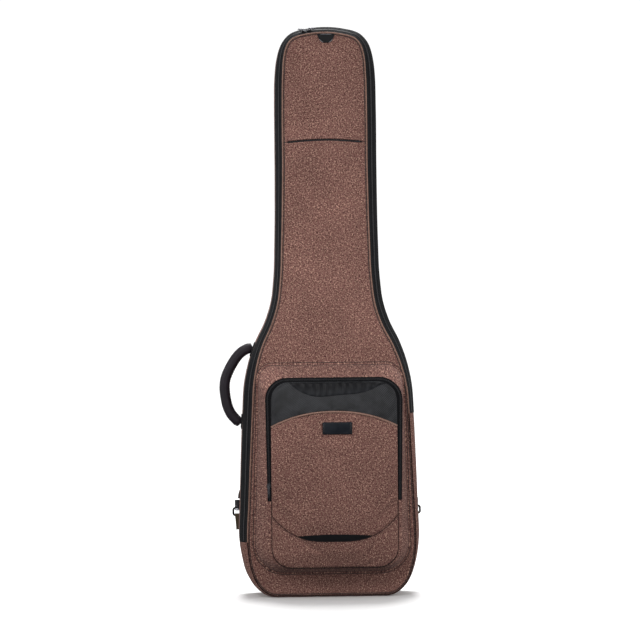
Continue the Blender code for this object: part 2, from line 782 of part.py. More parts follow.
def add_sliders():
    for side, x in MAIN_SLIDER_X.items():
        point, out = zip_top(x)
        along = Vector((1, 0, 0))
        across = along.cross(out)
        slider = "main_slider_" + side
        axes = (along, across, out)
        block(slider, point + out * 0.0042, axes, MAIN_SLIDER, METAL, slider, SLIDER_TAPER)
        away = -along if side == "left" else along
        centre = point + out * 0.0076 + away * 0.0062
        pull = "main_pull_" + side
        block(pull, centre, axes, MAIN_PULL, METAL, pull, metallic=0.8)
    axes = ((0, 0, 1), (1, 0, 0), (0, -1, 0))
    block("pocket_slider", POCKET_SLIDER, axes, SMALL_SLIDER, METAL, "pocket_slider", SLIDER_TAPER)
    centre = POCKET_SLIDER + Vector((0, -0.0042, -0.0130))
    block("pocket_pull", centre, axes, POCKET_PULL, METAL, "pocket_pull")
    axes = ((1, 0, 0), (0, 0, 1), (0, -1, 0))
    block("head_pocket_slider", HEAD_SLIDER, axes, HEAD_SLIDER_SIZE, METAL, "head_slider")


# Side handle


def add_handle():
    path = [Vector((x, 0, z)) for x, z in smooth(HANDLE_POINTS, 3)]
    last = len(path) - 1
    radii = [HANDLE_RADIUS * (0.42 + 0.58 * ease(min(i, last - i) / 3)) for i in range(last + 1)]
    rings = tube_sections(path, radii, 10, Vector((0, 1, 0)))
    sleeve = lofted("side_handle_grip", rings, PLASTIC, "side_handle", roughness=0.6)
    ends = [HANDLE_TOP + Vector((0.0008, 0, 0.0002))] + path + [HANDLE_LOW + Vector((0.0008, 0, 0.0008))]
    webbing = []
    bore = []
    for i, point in enumerate(ends):
        along = (ends[min(i + 1, len(ends) - 1)] - ends[max(i - 1, 0)]).normalized()
        out = along.cross(Vector((0, 1, 0))).normalized() * 0.0012
        wide = Vector((0, 0.0038, 0))
        webbing.append([point + out + wide, point + out - wide, point - out - wide, point - out + wide])
        out = out * 1.4
        wide = wide * 1.12
        bore.append([point + out + wide, point + out - wide, point - out - wide, point - out + wide])
    lofted("side_handle_webbing", webbing, BLACK_FABRIC, "side_handle")
    cut(sleeve, lofted("side_handle_bore_cutter", bore, PLASTIC, "side_handle"))
    for name, z in (("handle_anchor_upper", HANDLE_TOP.z + 0.0005), ("handle_anchor_lower", HANDLE_LOW.z)):
        edge, inward = edge_at(-u_at(z))
        up = Vector((inward.y, 0, -inward.x))
        centre = Vector((edge.x, 0, edge.y)) - Vector((inward.x, 0, inward.y)) * 0.0016
        axes = (up, (0, 1, 0), (-inward.x, 0, -inward.y))
        block(name, centre, axes, HANDLE_ANCHOR, BLACK_FABRIC, None)


# Back straps


def ribbon(name, path, widths, inner_y, thickness, crown, colour, body, columns=5, **look):
    """A strap along a path in the XZ plane, thinner at its edges by crown."""
    fronts = []
    backs = []
    for i, point in enumerate(path):
        along = (path[min(i + 1, len(path) - 1)] - path[max(i - 1, 0)]).normalized()
        across = Vector((along.y, -along.x))
        front = []
        back = []
        for t in spaced(-1, 1, columns):
            spot = point + across * t * widths[i] / 2
            back.append((spot.x, inner_y + crown * 0.4 * t * t, spot.y))
            front.append((spot.x, inner_y + thickness - crown * 0.6 * t * t, spot.y))
        fronts.append(front)
        backs.append(back)
    return slab(name, fronts, backs, colour, body, **look)


def hooked(length, radius, thickness, turn, steps=8):
    """The profile of a strip that runs down and curls round, as (y, z) about the centre of its curl."""
    centre = [(radius, length), (radius, 0.0)]
    for i in range(1, steps + 1):
        a = -turn * i / steps
        centre.append((radius * math.cos(a), radius * math.sin(a)))
    outer = []
    inner = []
    for i, (y, z) in enumerate(centre):
        before = centre[max(i - 1, 0)]
        after = centre[min(i + 1, len(centre) - 1)]
        way = Vector((after[0] - before[0], after[1] - before[1])).normalized() * thickness / 2
        outer.append((y - way.y, z + way.x))
        inner.append((y + way.y, z - way.x))
    return outer + inner[::-1]


def add_straps():
    yoke = ((-0.078, 0.8010), (0.078, 0.8010), (0.060, 0.868), (-0.060, 0.868))
    low, high = ([(x, y, z) for x, z in yoke] for y in (0.0625, 0.0665))
    lofted("strap_yoke", [low, high], BLACK_FABRIC, None)
    for side, name in ((-1, "left"), (1, "right")):
        body = "strap_" + name
        path = [Vector((side * x, z)) for x, z in smooth(STRAP_PAD_POINTS, 4)]
        widths = [0.062 * (0.62 + 0.38 * ease(min(i, len(path) - 1 - i) / 3)) for i in range(len(path))]
        ribbon("strap_pad_" + name, path, widths, STRAP_PAD_Y, STRAP_PAD_THICK, 0.007, BLACK_FABRIC, body)
        curve = smooth([(side * x, z) for x, z in WEBBING_POINTS], 4, last=(0, -1))
        curve = [point for point in curve if point.y < 0.4475]
        widths = [WEBBING_WIDTH * (0.62 if point.y < 0.225 else 1.0) for point in curve]
        ribbon("strap_webbing_" + name, curve, widths, 0.0660, 0.0016, 0.0, BLACK_FABRIC, body, 3)
        at = min(range(len(curve)), key=lambda i: abs(curve[i].y - LADDER_LOCK_Z))
        along = (curve[at + 1] - curve[at - 1]).normalized()
        axes = ((along.y, 0, -along.x), (along.x, 0, along.y), (0, 1, 0))
        centre = Vector((curve[at].x, 0.0668, curve[at].y))
        lock = block("ladder_lock_" + name, centre, axes, LADDER_LOCK, PLASTIC, body, 0.92, roughness=0.4)
        tunnel = block("ladder_lock_cutter_" + name, centre, axes, LOCK_TUNNEL, PLASTIC, body)
        cut(lock, tunnel)
        x = side * RING_X
        clip = [(RING_Y + y, RING_HIGH_Z + z) for y, z in hooked(0.0180, 0.0036, 0.0018, math.radians(105))]
        prism("strap_hook_" + name, clip, "X", x - 0.0060, x + 0.0060, METAL, body, metallic=0.7)
        clip = [(RING_Y - y, RING_LOW_Z - z) for y, z in hooked(0.0300, 0.0034, 0.0016, math.radians(300))]
        prism("side_tab_" + name, clip, "X", x - 0.0068, x + 0.0068, (0.10, 0.09, 0.05), None)
        wire = []
        middle = (RING_LOW_Z + RING_HIGH_Z) / 2
        reach = (RING_HIGH_Z - RING_LOW_Z) / 2
        for i in range(16):
            a = 2 * math.pi * (i + 0.5) / 16
            flat = [math.copysign(abs(v) ** 0.5, v) for v in (math.cos(a), math.sin(a))]
            wire.append(Vector((x + RING_HALF * flat[0], RING_Y, middle + reach * flat[1])))
        turns = [2 * math.pi * k / 6 for k in range(6)]
        sections = []
        for i, point in enumerate(wire):
            along = (wire[(i + 1) % 16] - wire[i - 1]).normalized()
            right = along.cross(Vector((0, 1, 0)))
            ring = [right * math.cos(a) + Vector((0, math.sin(a), 0)) for a in turns]
            sections.append([point + spoke * WIRE for spoke in ring])
        lofted("side_ring_" + name, sections, METAL, None, closed=True, metallic=0.9, roughness=0.3)


def main():
    for thing in list(bpy.data.objects):
        bpy.data.objects.remove(thing)
    add_pivots()
    add_shell()
    add_inside()
    add_lid()
    add_pocket()
    add_flap()
    add_lower_wall()
    add_sliders()
    add_handle()
    add_straps()


main()
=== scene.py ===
"""Looks of the padded bass gig bag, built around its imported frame. Metres, +Z up, the front faces -Y."""

import math

import bmesh
import bpy
import numpy as np
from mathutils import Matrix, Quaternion, Vector, noise


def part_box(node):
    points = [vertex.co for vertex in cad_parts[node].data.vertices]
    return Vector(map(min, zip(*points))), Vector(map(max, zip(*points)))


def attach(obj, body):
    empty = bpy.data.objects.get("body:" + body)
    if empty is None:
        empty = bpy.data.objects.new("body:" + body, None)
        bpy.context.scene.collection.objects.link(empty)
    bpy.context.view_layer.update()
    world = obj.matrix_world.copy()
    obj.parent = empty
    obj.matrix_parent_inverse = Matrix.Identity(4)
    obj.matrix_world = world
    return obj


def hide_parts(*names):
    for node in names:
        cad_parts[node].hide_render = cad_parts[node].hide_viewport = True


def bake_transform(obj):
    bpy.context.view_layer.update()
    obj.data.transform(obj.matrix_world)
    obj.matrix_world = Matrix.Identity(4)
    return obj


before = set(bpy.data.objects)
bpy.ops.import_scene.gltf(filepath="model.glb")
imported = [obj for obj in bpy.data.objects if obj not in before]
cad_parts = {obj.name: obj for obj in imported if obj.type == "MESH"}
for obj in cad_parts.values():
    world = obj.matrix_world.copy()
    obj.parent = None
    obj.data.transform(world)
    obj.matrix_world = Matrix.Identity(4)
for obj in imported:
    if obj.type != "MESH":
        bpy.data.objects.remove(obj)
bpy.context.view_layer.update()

# Driving dimensions, the same as the frame's.
BODY_FRONT_Y = -0.048
NECK_FRONT_Y = -0.030
NECK_BEGINS_Z = 0.42
NECK_ENDS_Z = 0.80
BAND_DEPTH = 0.0235
BAND_INSETS = (
    (0.0, 0.004),
    (0.06, 0.008),
    (0.14, 0.0125),
    (0.35, 0.0150),
    (0.75, 0.0155),
    (0.95, 0.0175),
    (1.15, 0.0175),
    (1.25, 0.0125),
)
PANEL_GAP = 0.0026
BODY_CROWN = 0.013
NECK_CROWN = 0.009
POCKET_LEAN = 0.006
STEP = 0.006


# Curves


def smooth(points, steps, first=None, last=None):
    """A curve through the points, with this many stretches between neighbours.
    first and last are its end directions."""
    points = np.asarray(points, float)
    spans = np.linalg.norm(np.diff(points, axis=0), axis=1)
    slopes = np.diff(points, axis=0) / spans[:, None]
    tangents = np.empty_like(points)
    weights = spans[1:, None], spans[:-1, None]
    tangents[1:-1] = (
        slopes[:-1] * weights[0] + slopes[1:] * weights[1]
    ) / (weights[0] + weights[1])
    tangents[0] = slopes[0] if first is None else first
    tangents[-1] = slopes[-1] if last is None else last
    curve = [points[:1]]
    for i, span in enumerate(spans):
        t = (np.arange(1, steps + 1) / steps)[:, None]
        curve.append(
            points[i] * (1 - 3 * t**2 + 2 * t**3)
            + tangents[i] * span * (t - 2 * t**2 + t**3)
            + points[i + 1] * (3 * t**2 - 2 * t**3)
            + tangents[i + 1] * span * (t**3 - t**2)
        )
    return np.concatenate(curve)


def ease(t):
    t = np.clip(t, 0.0, 1.0)
    return t * t * (3 - 2 * t)


def table(pairs, z):
    pairs = np.array(pairs)
    return np.interp(z, pairs[:, 0], pairs[:, 1])


def lengths(path):
    """The distance along the path at each of its points."""
    steps = np.linalg.norm(np.diff(path, axis=0), axis=1)
    return np.concatenate([[0.0], np.cumsum(steps)])


def along(path, distances):
    """The path's points at these distances along it."""
    at = lengths(path)
    return np.stack([np.interp(distances, at, path[:, k]) for k in range(path.shape[1])], axis=1)


def evenly(path, step):
    at = lengths(path)[-1]
    return along(path, np.linspace(0, at, max(2, round(at / step) + 1)))


def directions(path, closed=False):
    """Unit directions along the path at its points."""
    if closed:
        d = np.roll(path, -1, axis=0) - np.roll(path, 1, axis=0)
    else:
        d = np.gradient(path, axis=0)
    return d / np.linalg.norm(d, axis=1)[:, None]


def wander(points, scale, seed=0.0):
    """Smooth noise from -1 to 1 at each point, with features of about this scale in metres."""
    return np.array(
        [noise.noise(Vector(p) / scale + Vector((seed, seed * 1.7, -seed))) for p in points]
    )


# The bag's outline, read from the frame's side wall


def cad_points(node):
    flat = np.empty(len(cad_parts[node].data.vertices) * 3, np.float32)
    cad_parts[node].data.vertices.foreach_get("co", flat)
    return flat.reshape(-1, 3).astype(float)


def outline_of_wall():
    """The wall's outer back edge as (x, z), from the right-hand end of the base over the top."""
    points = cad_points("side_gusset")
    edge = np.unique(points[points[:, 1] > points[:, 1].max() - 1e-5][:, [0, 2]].round(5), axis=0)
    centre = np.array([0.0, 0.6])
    apart = np.linalg.norm(edge[:, None] - edge[None], axis=2) + np.eye(len(edge))
    partner = apart.argmin(axis=1)
    reach = np.linalg.norm(edge - centre, axis=1)
    outer = edge[reach > reach[partner]]
    turn = (np.degrees(np.arctan2(outer[:, 1] - centre[1], outer[:, 0])) + 450) % 360
    return outer[turn.argsort()]


CORNERS = outline_of_wall()
OUTLINE = evenly(smooth(CORNERS, 8, first=(1, 0), last=(1, 0)), STEP)
TURN = directions(OUTLINE)
TURN[0] = TURN[-1] = (1, 0)
INWARD = np.stack([-TURN[:, 1], TURN[:, 0]], axis=1)
BASE_HALF = CORNERS[0][0]
BASE_X = np.linspace(-BASE_HALF, BASE_HALF, 41)[1:]
LOOP = np.concatenate([OUTLINE, np.stack([BASE_X, 0 * BASE_X], axis=1)])
LOOP_IN = np.concatenate([INWARD, np.tile((0.0, 1.0), (len(BASE_X), 1))])
LOOP_AT = lengths(LOOP)
MIDDLE = int(OUTLINE[:, 1].argmax())
BACK_Y = cad_points("side_gusset")[:, 1].max()


def half_width(z):
    return np.interp(z, OUTLINE[: MIDDLE + 1, 1], OUTLINE[: MIDDLE + 1, 0])


def neck_share(z):
    return ease((z - NECK_BEGINS_Z) / (NECK_ENDS_Z - NECK_BEGINS_Z))


def front_y(z):
    """The front edge of the side wall."""
    return BODY_FRONT_Y + (NECK_FRONT_Y - BODY_FRONT_Y) * neck_share(z)


def band(z, t, h=0.0):
    """(inset, y) at t across the zip band, 0 at the wall and 1 at the front, h out of its face."""
    inset = table(BAND_INSETS, z)
    length = np.hypot(inset, BAND_DEPTH)
    return inset * t - h * BAND_DEPTH / length, front_y(z) - BAND_DEPTH * t - h * inset / length


def panel_y(x, z):
    """The outer face of the padded front panel."""
    half = half_width(z) - table(BAND_INSETS, z) - PANEL_GAP
    across = 1 - np.minimum(np.abs(x) / half, 1.0) ** 3
    ends = ease(z / 0.08) * ease((1.237 - z) / 0.06)
    crown = BODY_CROWN + (NECK_CROWN - BODY_CROWN) * neck_share(z)
    return front_y(z) - BAND_DEPTH - 0.001 - crown * across * ends


def on_loop(distances, inset, y):
    """Points in space at these distances round the loop. inset and y are numbers or arrays."""
    distances = np.asarray(distances) % LOOP_AT[-1]
    flat = np.stack([np.interp(distances, LOOP_AT, LOOP[:, k]) for k in (0, 1)], axis=1)
    inward = np.stack([np.interp(distances, LOOP_AT, LOOP_IN[:, k]) for k in (0, 1)], axis=1)
    inward /= np.linalg.norm(inward, axis=1)[:, None]
    flat = flat + inward * np.reshape(inset, (-1, 1))
    return np.stack([flat[:, 0], np.broadcast_to(y, flat[:, 0].shape), flat[:, 1]], axis=1)


# Mesh building


def twist(z):
    """How far the front sits to the right of the side wall. The bag stands a little twisted."""
    return 0.0030 - 0.0070 * ease((z - 0.42) / 0.20)


def twisted(points):
    """Points in space, moved sideways with the front of the bag. The full pocket also leans left and up."""
    points = np.array(points, float)
    z = points[..., 2].copy()
    out = front_y(z) - points[..., 1]
    pocket = np.clip((out - BAND_DEPTH - 0.016) / 0.060, 0, 1)
    points[..., 0] += twist(z) * np.clip(out / BAND_DEPTH, 0, 1) - 0.0032 * pocket
    points[..., 2] += 0.0045 * pocket * ease((0.485 - z) / 0.13)
    return points


def untwisted(units, axis):
    """Closed shapes for many(), moved the other way along one axis, so that they end up on their joints."""
    out = []
    for points, faces in units:
        points = np.array(points, float)
        points[:, axis] -= (twisted(points) - points)[:, axis]
        out.append((points, faces))
    return out


def finish_piece(mesh, name, material, body, replaces=(), solid=0.0, sharp=40):
    """The piece in the scene, with its material, the body it rides and what it stands for."""
    mesh.name = name
    flat = np.empty(len(mesh.vertices) * 3, np.float32)
    mesh.vertices.foreach_get("co", flat)
    points = twisted(flat.reshape(-1, 3))
    points[:, 2] = np.maximum(points[:, 2], 0.0)
    mesh.vertices.foreach_set("co", points.astype(np.float32).ravel())
    mesh.shade_smooth()
    mesh.set_sharp_from_angle(angle=math.radians(sharp))
    mesh.materials.append(material)
    piece = bpy.data.objects.new(name, mesh)
    bpy.context.scene.collection.objects.link(piece)
    if solid:
        thick = piece.modifiers.new("thickness", "SOLIDIFY")
        thick.thickness = solid
        thick.offset = -1
    if body:
        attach(piece, body)
    if replaces:
        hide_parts(*replaces)
    return piece


def cloth_uv(rows):
    """Distances along and across a grid of points, in metres."""
    u = np.zeros(rows.shape[:2])
    v = np.zeros(rows.shape[:2])
    u[:, 1:] = np.cumsum(np.linalg.norm(np.diff(rows, axis=1), axis=2), axis=1)
    u -= u[:, [u.shape[1] // 2]]
    v[1:] = np.cumsum(np.linalg.norm(np.diff(rows, axis=0), axis=2).mean(axis=1))[:, None]
    return np.stack([u, v], axis=2)


def grid_mesh(rows, uv=None, wrap_rows=False, wrap_columns=False, caps=False):
    """A mesh from rows of points. A wrapped direction joins the last to the first."""
    rows = np.asarray(rows, float)
    if wrap_columns:
        rows = np.concatenate([rows, rows[:, :1]], axis=1)
    if wrap_rows:
        rows = np.concatenate([rows, rows[:1]], axis=0)
    if uv is None:
        uv = cloth_uv(rows)
    m, n = rows.shape[:2]
    at = np.arange(m * n).reshape(m, n)
    quads = np.stack([at[:-1, :-1], at[:-1, 1:], at[1:, 1:], at[1:, :-1]], axis=2).reshape(-1, 4)
    mesh = bpy.data.meshes.new("piece")
    faces = [tuple(int(i) for i in quad) for quad in quads]
    if caps:
        faces += [tuple(int(i) for i in at[0, : n - wrap_columns][::-1])]
        faces += [tuple(int(i) for i in at[-1, : n - wrap_columns])]
    mesh.from_pydata(rows.reshape(-1, 3).tolist(), [], faces)
    layer = mesh.uv_layers.new(name="cloth")
    corners = np.empty(len(mesh.loops), np.int32)
    mesh.loops.foreach_get("vertex_index", corners)
    layer.data.foreach_set("uv", uv.reshape(-1, 2)[corners].astype(np.float32).ravel())
    if wrap_rows or wrap_columns:
        bm = bmesh.new()
        bm.from_mesh(mesh)
        bmesh.ops.remove_doubles(bm, verts=bm.verts, dist=1e-7)
        bm.to_mesh(mesh)
        bm.free()
    return mesh


def surface(name, rows, material, body, slot, replaces=(), solid=0.0, uv=None, sharp=40, **wraps):
    """A piece from rows of points."""
    return finish_piece(
        grid_mesh(rows, uv, **wraps), name, material, body, replaces, solid, sharp
    )


def tube_rows(path, radii, sides, up=(0.0, 1.0, 0.0), flat=1.0, closed=False):
    """Rings round a path. flat squeezes them along up."""
    way = directions(path, closed)
    right = np.cross(way, np.asarray(up, float))
    right /= np.linalg.norm(right, axis=1)[:, None]
    over = np.cross(right, way)
    turns = 2 * np.pi * np.arange(sides) / sides
    radii = np.broadcast_to(radii, len(path))[:, None, None]
    cosines, sines = np.cos(turns)[None, :, None], (flat * np.sin(turns))[None, :, None]
    return path[:, None] + (right[:, None] * cosines + over[:, None] * sines) * radii


def tube(
    name, path, radii, sides, material, body, slot, replaces=(), up=(0.0, 1.0, 0.0), flat=1.0,
    closed=False
):
    """A round tube along a path, as a piece of its own."""
    rows = tube_rows(np.asarray(path, float), radii, sides, up, flat, closed)
    return surface(
        name, rows, material, body, slot, replaces, wrap_columns=True, wrap_rows=closed,
        caps=not closed, sharp=60,
    )


def many(name, units, material, body, replaces=(), sharp=40):
    """One piece from many small closed shapes, each a pair of points and faces."""
    points = []
    faces = []
    for some_points, some_faces in units:
        start = len(points)
        points += [tuple(p) for p in some_points]
        faces += [tuple(start + i for i in face) for face in some_faces]
    mesh = bpy.data.meshes.new(name)
    mesh.from_pydata(points, [], faces)
    mesh.uv_layers.new(name="cloth")
    return finish_piece(mesh, name, material, body, replaces, sharp=sharp)


BOX_FACES = ((0, 3, 2, 1), (4, 5, 6, 7), (0, 1, 5, 4), (1, 2, 6, 5), (2, 3, 7, 6), (3, 0, 4, 7))


def box_unit(centre, a, b, c, taper=1.0):
    """A box about centre with these half sides. taper narrows its far c face."""
    ends = ((-1, -1), (1, -1), (1, 1), (-1, 1))
    return [centre + a * i + b * j - c for i, j in ends] + [
        centre + (a * i + b * j) * taper + c for i, j in ends
    ], BOX_FACES


STITCH_FACES = [(0, 1 + (k + 1) % 4, 1 + k) for k in range(4)]
STITCH_FACES += [(1 + k, 1 + (k + 1) % 4, 5 + (k + 1) % 4, 5 + k) for k in range(4)]
STITCH_FACES += [(5 + k, 5 + (k + 1) % 4, 9) for k in range(4)]


def stitch_units(path, normals, pitch=0.0042, share=0.72, radius=0.00042):
    """Threads that lie along the path, half sunk in the cloth."""
    at = lengths(path)
    units = []
    for start in np.arange(0, at[-1] - pitch, pitch):
        spots = start + pitch * share * np.array([0.0, 0.25, 0.75, 1.0])
        a, b, c, d = along(path, spots)
        n = np.array([np.interp(spots[1], at, normals[:, k]) for k in range(3)])
        n /= np.linalg.norm(n)
        side = np.cross(c - b, n)
        side *= radius / np.linalg.norm(side)
        up = n * radius
        ring = (side, up, -side, -up)
        points = [a - up * 0.4] + [b + r + up * 0.3 for r in ring] + [
            c + r + up * 0.3 for r in ring
        ] + [d - up * 0.4]
        units.append((points, STITCH_FACES))
    return units


def normals_of(path, toward):
    """Directions out of the cloth along a path: the part of toward that is square to the path."""
    way = directions(path)
    toward = np.broadcast_to(np.asarray(toward, float), path.shape)
    flat = toward - way * (toward * way).sum(axis=1)[:, None]
    return flat / np.linalg.norm(flat, axis=1)[:, None]


def stitches(name, paths, toward, material, body, slot, **sizes):
    """Rows of stitches along these paths, as one piece."""
    units = []
    for path in paths:
        units += stitch_units(path, normals_of(path, toward), **sizes)
    return many(name, units, material, body, sharp=80)


# Materials


class Nodes:
    """Builds a node tree with short calls."""

    def __init__(self, name):
        self.material = bpy.data.materials.new(name)
        self.material.use_nodes = True
        self.tree = self.material.node_tree
        self.shader = self.tree.nodes["Principled BSDF"]

    def add(self, kind, inputs=None, **settings):
        node = self.tree.nodes.new("ShaderNode" + kind)
        for key, value in settings.items():
            setattr(node, key, value)
        for key, value in (inputs or {}).items():
            self.put(node.inputs[key], value)
        return node

    def put(self, socket, value):
        if isinstance(value, bpy.types.NodeSocket):
            self.tree.links.new(value, socket)
        else:
            socket.default_value = value

    def math(self, operation, a, b=0.5, clamp=False):
        return self.add("Math", {0: a, 1: b}, operation=operation, use_clamp=clamp).outputs[0]

    def cloth(self):
        """The cloth's own coordinates, in metres."""
        return self.add("UVMap", uv_map="cloth").outputs[0]

    def scaled(self, vector, scale, turn=0.0):
        return self.add("Mapping", {0: vector, "Scale": scale, "Rotation": (0, 0, turn)}).outputs[0]

    def noise(self, vector, scale=1.0, detail=2.0, rough=0.5):
        inputs = {"Vector": vector, "Scale": scale, "Detail": detail, "Roughness": rough}
        return self.add("TexNoise", inputs).outputs[0]

    def ramp(self, value, stops):
        node = self.add("ValToRGB", {0: value})
        points = node.color_ramp.elements
        while len(points) < len(stops):
            points.new(0.5)
        for point, (at, colour) in zip(points, stops):
            point.position = at
            point.color = (*colour, 1) if len(colour) == 3 else colour
        return node.outputs[0]

    def range(self, value, low, high, to_low=0.0, to_high=1.0):
        return self.add("MapRange", {0: value, 1: low, 2: high, 3: to_low, 4: to_high}).outputs[0]

    def mix(self, share, a, b, blend="MIX"):
        node = self.add("Mix", data_type="RGBA", blend_type=blend)
        self.put(node.inputs[0], share)
        self.put(node.inputs[6], a if isinstance(a, bpy.types.NodeSocket) else (*a, 1))
        self.put(node.inputs[7], b if isinstance(b, bpy.types.NodeSocket) else (*b, 1))
        return node.outputs[2]

    def bump(self, height, strength, distance, normal=None):
        inputs = {"Height": height, "Strength": strength, "Distance": distance}
        if normal is not None:
            inputs["Normal"] = normal
        return self.add("Bump", inputs).outputs[0]

    def done(self, colour, roughness, normal=None, **sockets):
        self.put(
            self.shader.inputs["Base Color"],
            colour if isinstance(colour, bpy.types.NodeSocket) else (*colour, 1)
        )
        self.put(self.shader.inputs["Roughness"], roughness)
        if normal is not None:
            self.put(self.shader.inputs["Normal"], normal)
        for key, value in sockets.items():
            self.put(self.shader.inputs[key.replace("_", " ")], value)
        return self.material


def split(nodes, vector):
    parts = nodes.add("SeparateXYZ", {0: vector})
    return parts.outputs[0], parts.outputs[1]


def plain_weave(nodes, vector, pitch):
    """(height, warp mask) of a plain weave with this yarn pitch."""
    u, v = split(nodes, nodes.scaled(vector, (math.pi / pitch,) * 3))
    height = nodes.math("MULTIPLY", nodes.math("SINE", u), nodes.math("SINE", v))
    return nodes.range(height, -1, 1), nodes.math("GREATER_THAN", height, 0.0)


def melange(name, dark, middle, light, pitch=0.0011, speckle=1.0):
    """Heathered cloth: dark and light slubs that run both ways, over a plain weave."""
    n = Nodes(name)
    cloth = n.cloth()
    height = plain_weave(n, cloth, pitch)[0]
    across = n.noise(n.scaled(cloth, (170, 430, 1)), 1.0, 2.0, 0.6)
    upward = n.noise(n.scaled(cloth, (430, 160, 1)), 1.0, 2.0, 0.6)
    spots = n.noise(n.scaled(cloth, (390, 390, 1), 0.6), 1.0, 1.0, 0.5)
    slub = n.math("ADD", n.math("MULTIPLY", across, 0.5), n.math("MULTIPLY", upward, 0.5))
    slub = n.math("ADD", n.math("MULTIPLY", slub, 0.55), n.math("MULTIPLY", spots, 0.45))
    spread = 0.125 / speckle
    share = n.range(slub, 0.5 - spread, 0.5 + spread)
    yarn = n.ramp(share, [(0.0, dark), (0.42, middle), (0.62, middle), (1.0, light)])
    fleck = n.noise(n.scaled(cloth, (420, 900, 1)), 1.0, 1.0)
    yarn = n.mix(n.range(fleck, 0.60, 0.70, 0.0, 0.8 * speckle), yarn, light)
    pit = n.noise(n.scaled(cloth, (800, 420, 1), 0.3), 1.0, 1.0)
    yarn = n.mix(n.range(pit, 0.58, 0.68, 0.0, 0.75 * speckle), yarn, dark)
    broad = n.noise(cloth, 9.0, 3.0, 0.6)
    tone = n.range(broad, 0.3, 0.7, 0.86, 1.12)
    shaded = n.mix(
        1.0, yarn, n.add("CombineXYZ", {0: tone, 1: tone, 2: tone}).outputs[0], "MULTIPLY"
    )
    crossing = n.range(height, 0.0, 1.0, 0.80, 1.06)
    shaded = n.mix(
        1.0, shaded, n.add("CombineXYZ", {0: crossing, 1: crossing, 2: crossing}).outputs[0],
        "MULTIPLY"
    )
    bump = n.bump(height, 0.5, 0.00035)
    bump = n.bump(slub, 0.5, 0.0009, bump)
    return n.done(
        shaded, 0.95, bump, Sheen_Weight=0.04, Sheen_Roughness=0.6, Specular_IOR_Level=0.12
    )


def ribbed(name, colour, light, pitch=0.0016, turn=0.0, gloss=0.62, spec=0.12):
    """Woven tape or webbing, with ribs across it."""
    n = Nodes(name)
    cloth = n.cloth()
    u, v = split(n, n.scaled(cloth, (1, 1, 1), turn))
    rib = n.math("SINE", n.math("MULTIPLY", v, 2 * math.pi / pitch))
    yarn = n.math("SINE", n.math("MULTIPLY", u, 2 * math.pi / (pitch * 0.6)))
    height = n.math("ADD", n.math("MULTIPLY", rib, 0.7), n.math("MULTIPLY", yarn, 0.3))
    worn = n.noise(cloth, 60.0, 4.0, 0.7)
    share = n.math("MULTIPLY", n.range(height, -0.4, 1.0), n.range(worn, 0.3, 0.75, 0.25, 1.0))
    bump = n.bump(height, 0.6, 0.0003)
    return n.done(
        n.mix(share, colour, light), gloss, bump, Specular_IOR_Level=spec, Sheen_Weight=0.03
    )


def twill(name, colour, light, pitch=0.0030, spec=0.28):
    """Coarse black twill: diagonal ribs whose grey tops are partly the weave's own colour and partly
    painted highlight, brighter in broad painted patches.
    """
    n = Nodes(name)
    cloth = n.cloth()
    u, v = split(n, n.scaled(cloth, (1, 1, 1), math.radians(38)))
    rib = n.math("SINE", n.math("MULTIPLY", u, 2 * math.pi / pitch))
    step = n.math("SINE", n.math("MULTIPLY", v, 2 * math.pi / (pitch * 0.55)))
    height = n.range(
        n.math("MULTIPLY", n.math("ADD", rib, 0.6), n.math("ADD", step, 1.6)), -0.8, 4.0
    )
    # Broad patches where the painted highlight on the ribs is brighter; they also vary the roughness.
    painted_sheen_patches = n.noise(cloth, 22.0, 3.0, 0.6)
    share = n.math("MULTIPLY", height, n.range(painted_sheen_patches, 0.38, 0.62, 0.30, 1.15))
    bump = n.bump(height, 0.7, 0.0005)
    rough = n.range(painted_sheen_patches, 0.3, 0.7, 0.42, 0.60)
    return n.done(n.mix(share, colour, light), rough, bump, Specular_IOR_Level=spec)


def painted_shade_satin(name, colour, light, edge):
    """Near-black satin that paints the shade of the window's hollow, in uneven streaks whose lighter colour
    is painted highlight on its folds; it takes the colour edge along its low side, where the painted shade
    fades out.
    """
    n = Nodes(name)
    cloth = n.cloth()
    v = split(n, cloth)[1]
    streak = n.noise(n.scaled(cloth, (95.0, 14.0, 1.0)), 1.0, 2.0)
    reach = n.math("ADD", v, n.range(streak, 0.3, 0.7, -0.007, 0.007))
    # The lighter streaks are painted highlights on the folds; the colour edge on the low side fades the
    # painted shade into the twill.
    fold = n.mix(n.range(streak, 0.40, 0.72), colour, light)
    return n.done(n.mix(n.range(reach, 0.001, 0.014), edge, fold), 0.5, Specular_IOR_Level=0.15)


def mesh_cloth(name, colour, light, pitch=0.0042):
    """Spacer mesh: rows of small round holes in a knitted face."""
    n = Nodes(name)
    cloth = n.cloth()
    u, v = split(n, n.scaled(cloth, (2 * math.pi / pitch, 2 * math.pi / (pitch * 1.2), 1)))
    one = n.math("ADD", n.math("COSINE", u), n.math("COSINE", v))
    two = n.math(
        "ADD", n.math("COSINE", n.math("ADD", u, math.pi)),
        n.math("COSINE", n.math("ADD", v, math.pi))
    )
    hole = n.math("MAXIMUM", one, two)
    face = n.range(hole, 0.75, 1.35, 1.0, 0.0)
    knit = n.noise(n.scaled(cloth, (1600, 1600, 1)), 1.0, 2.0)
    bump = n.bump(n.math("ADD", face, n.math("MULTIPLY", knit, 0.25)), 0.8, 0.0009)
    worn = n.math("MULTIPLY", face, n.range(knit, 0.3, 0.7, 0.45, 1.0))
    return n.done(n.mix(worn, colour, light), 0.75, bump, Sheen_Weight=0.15)


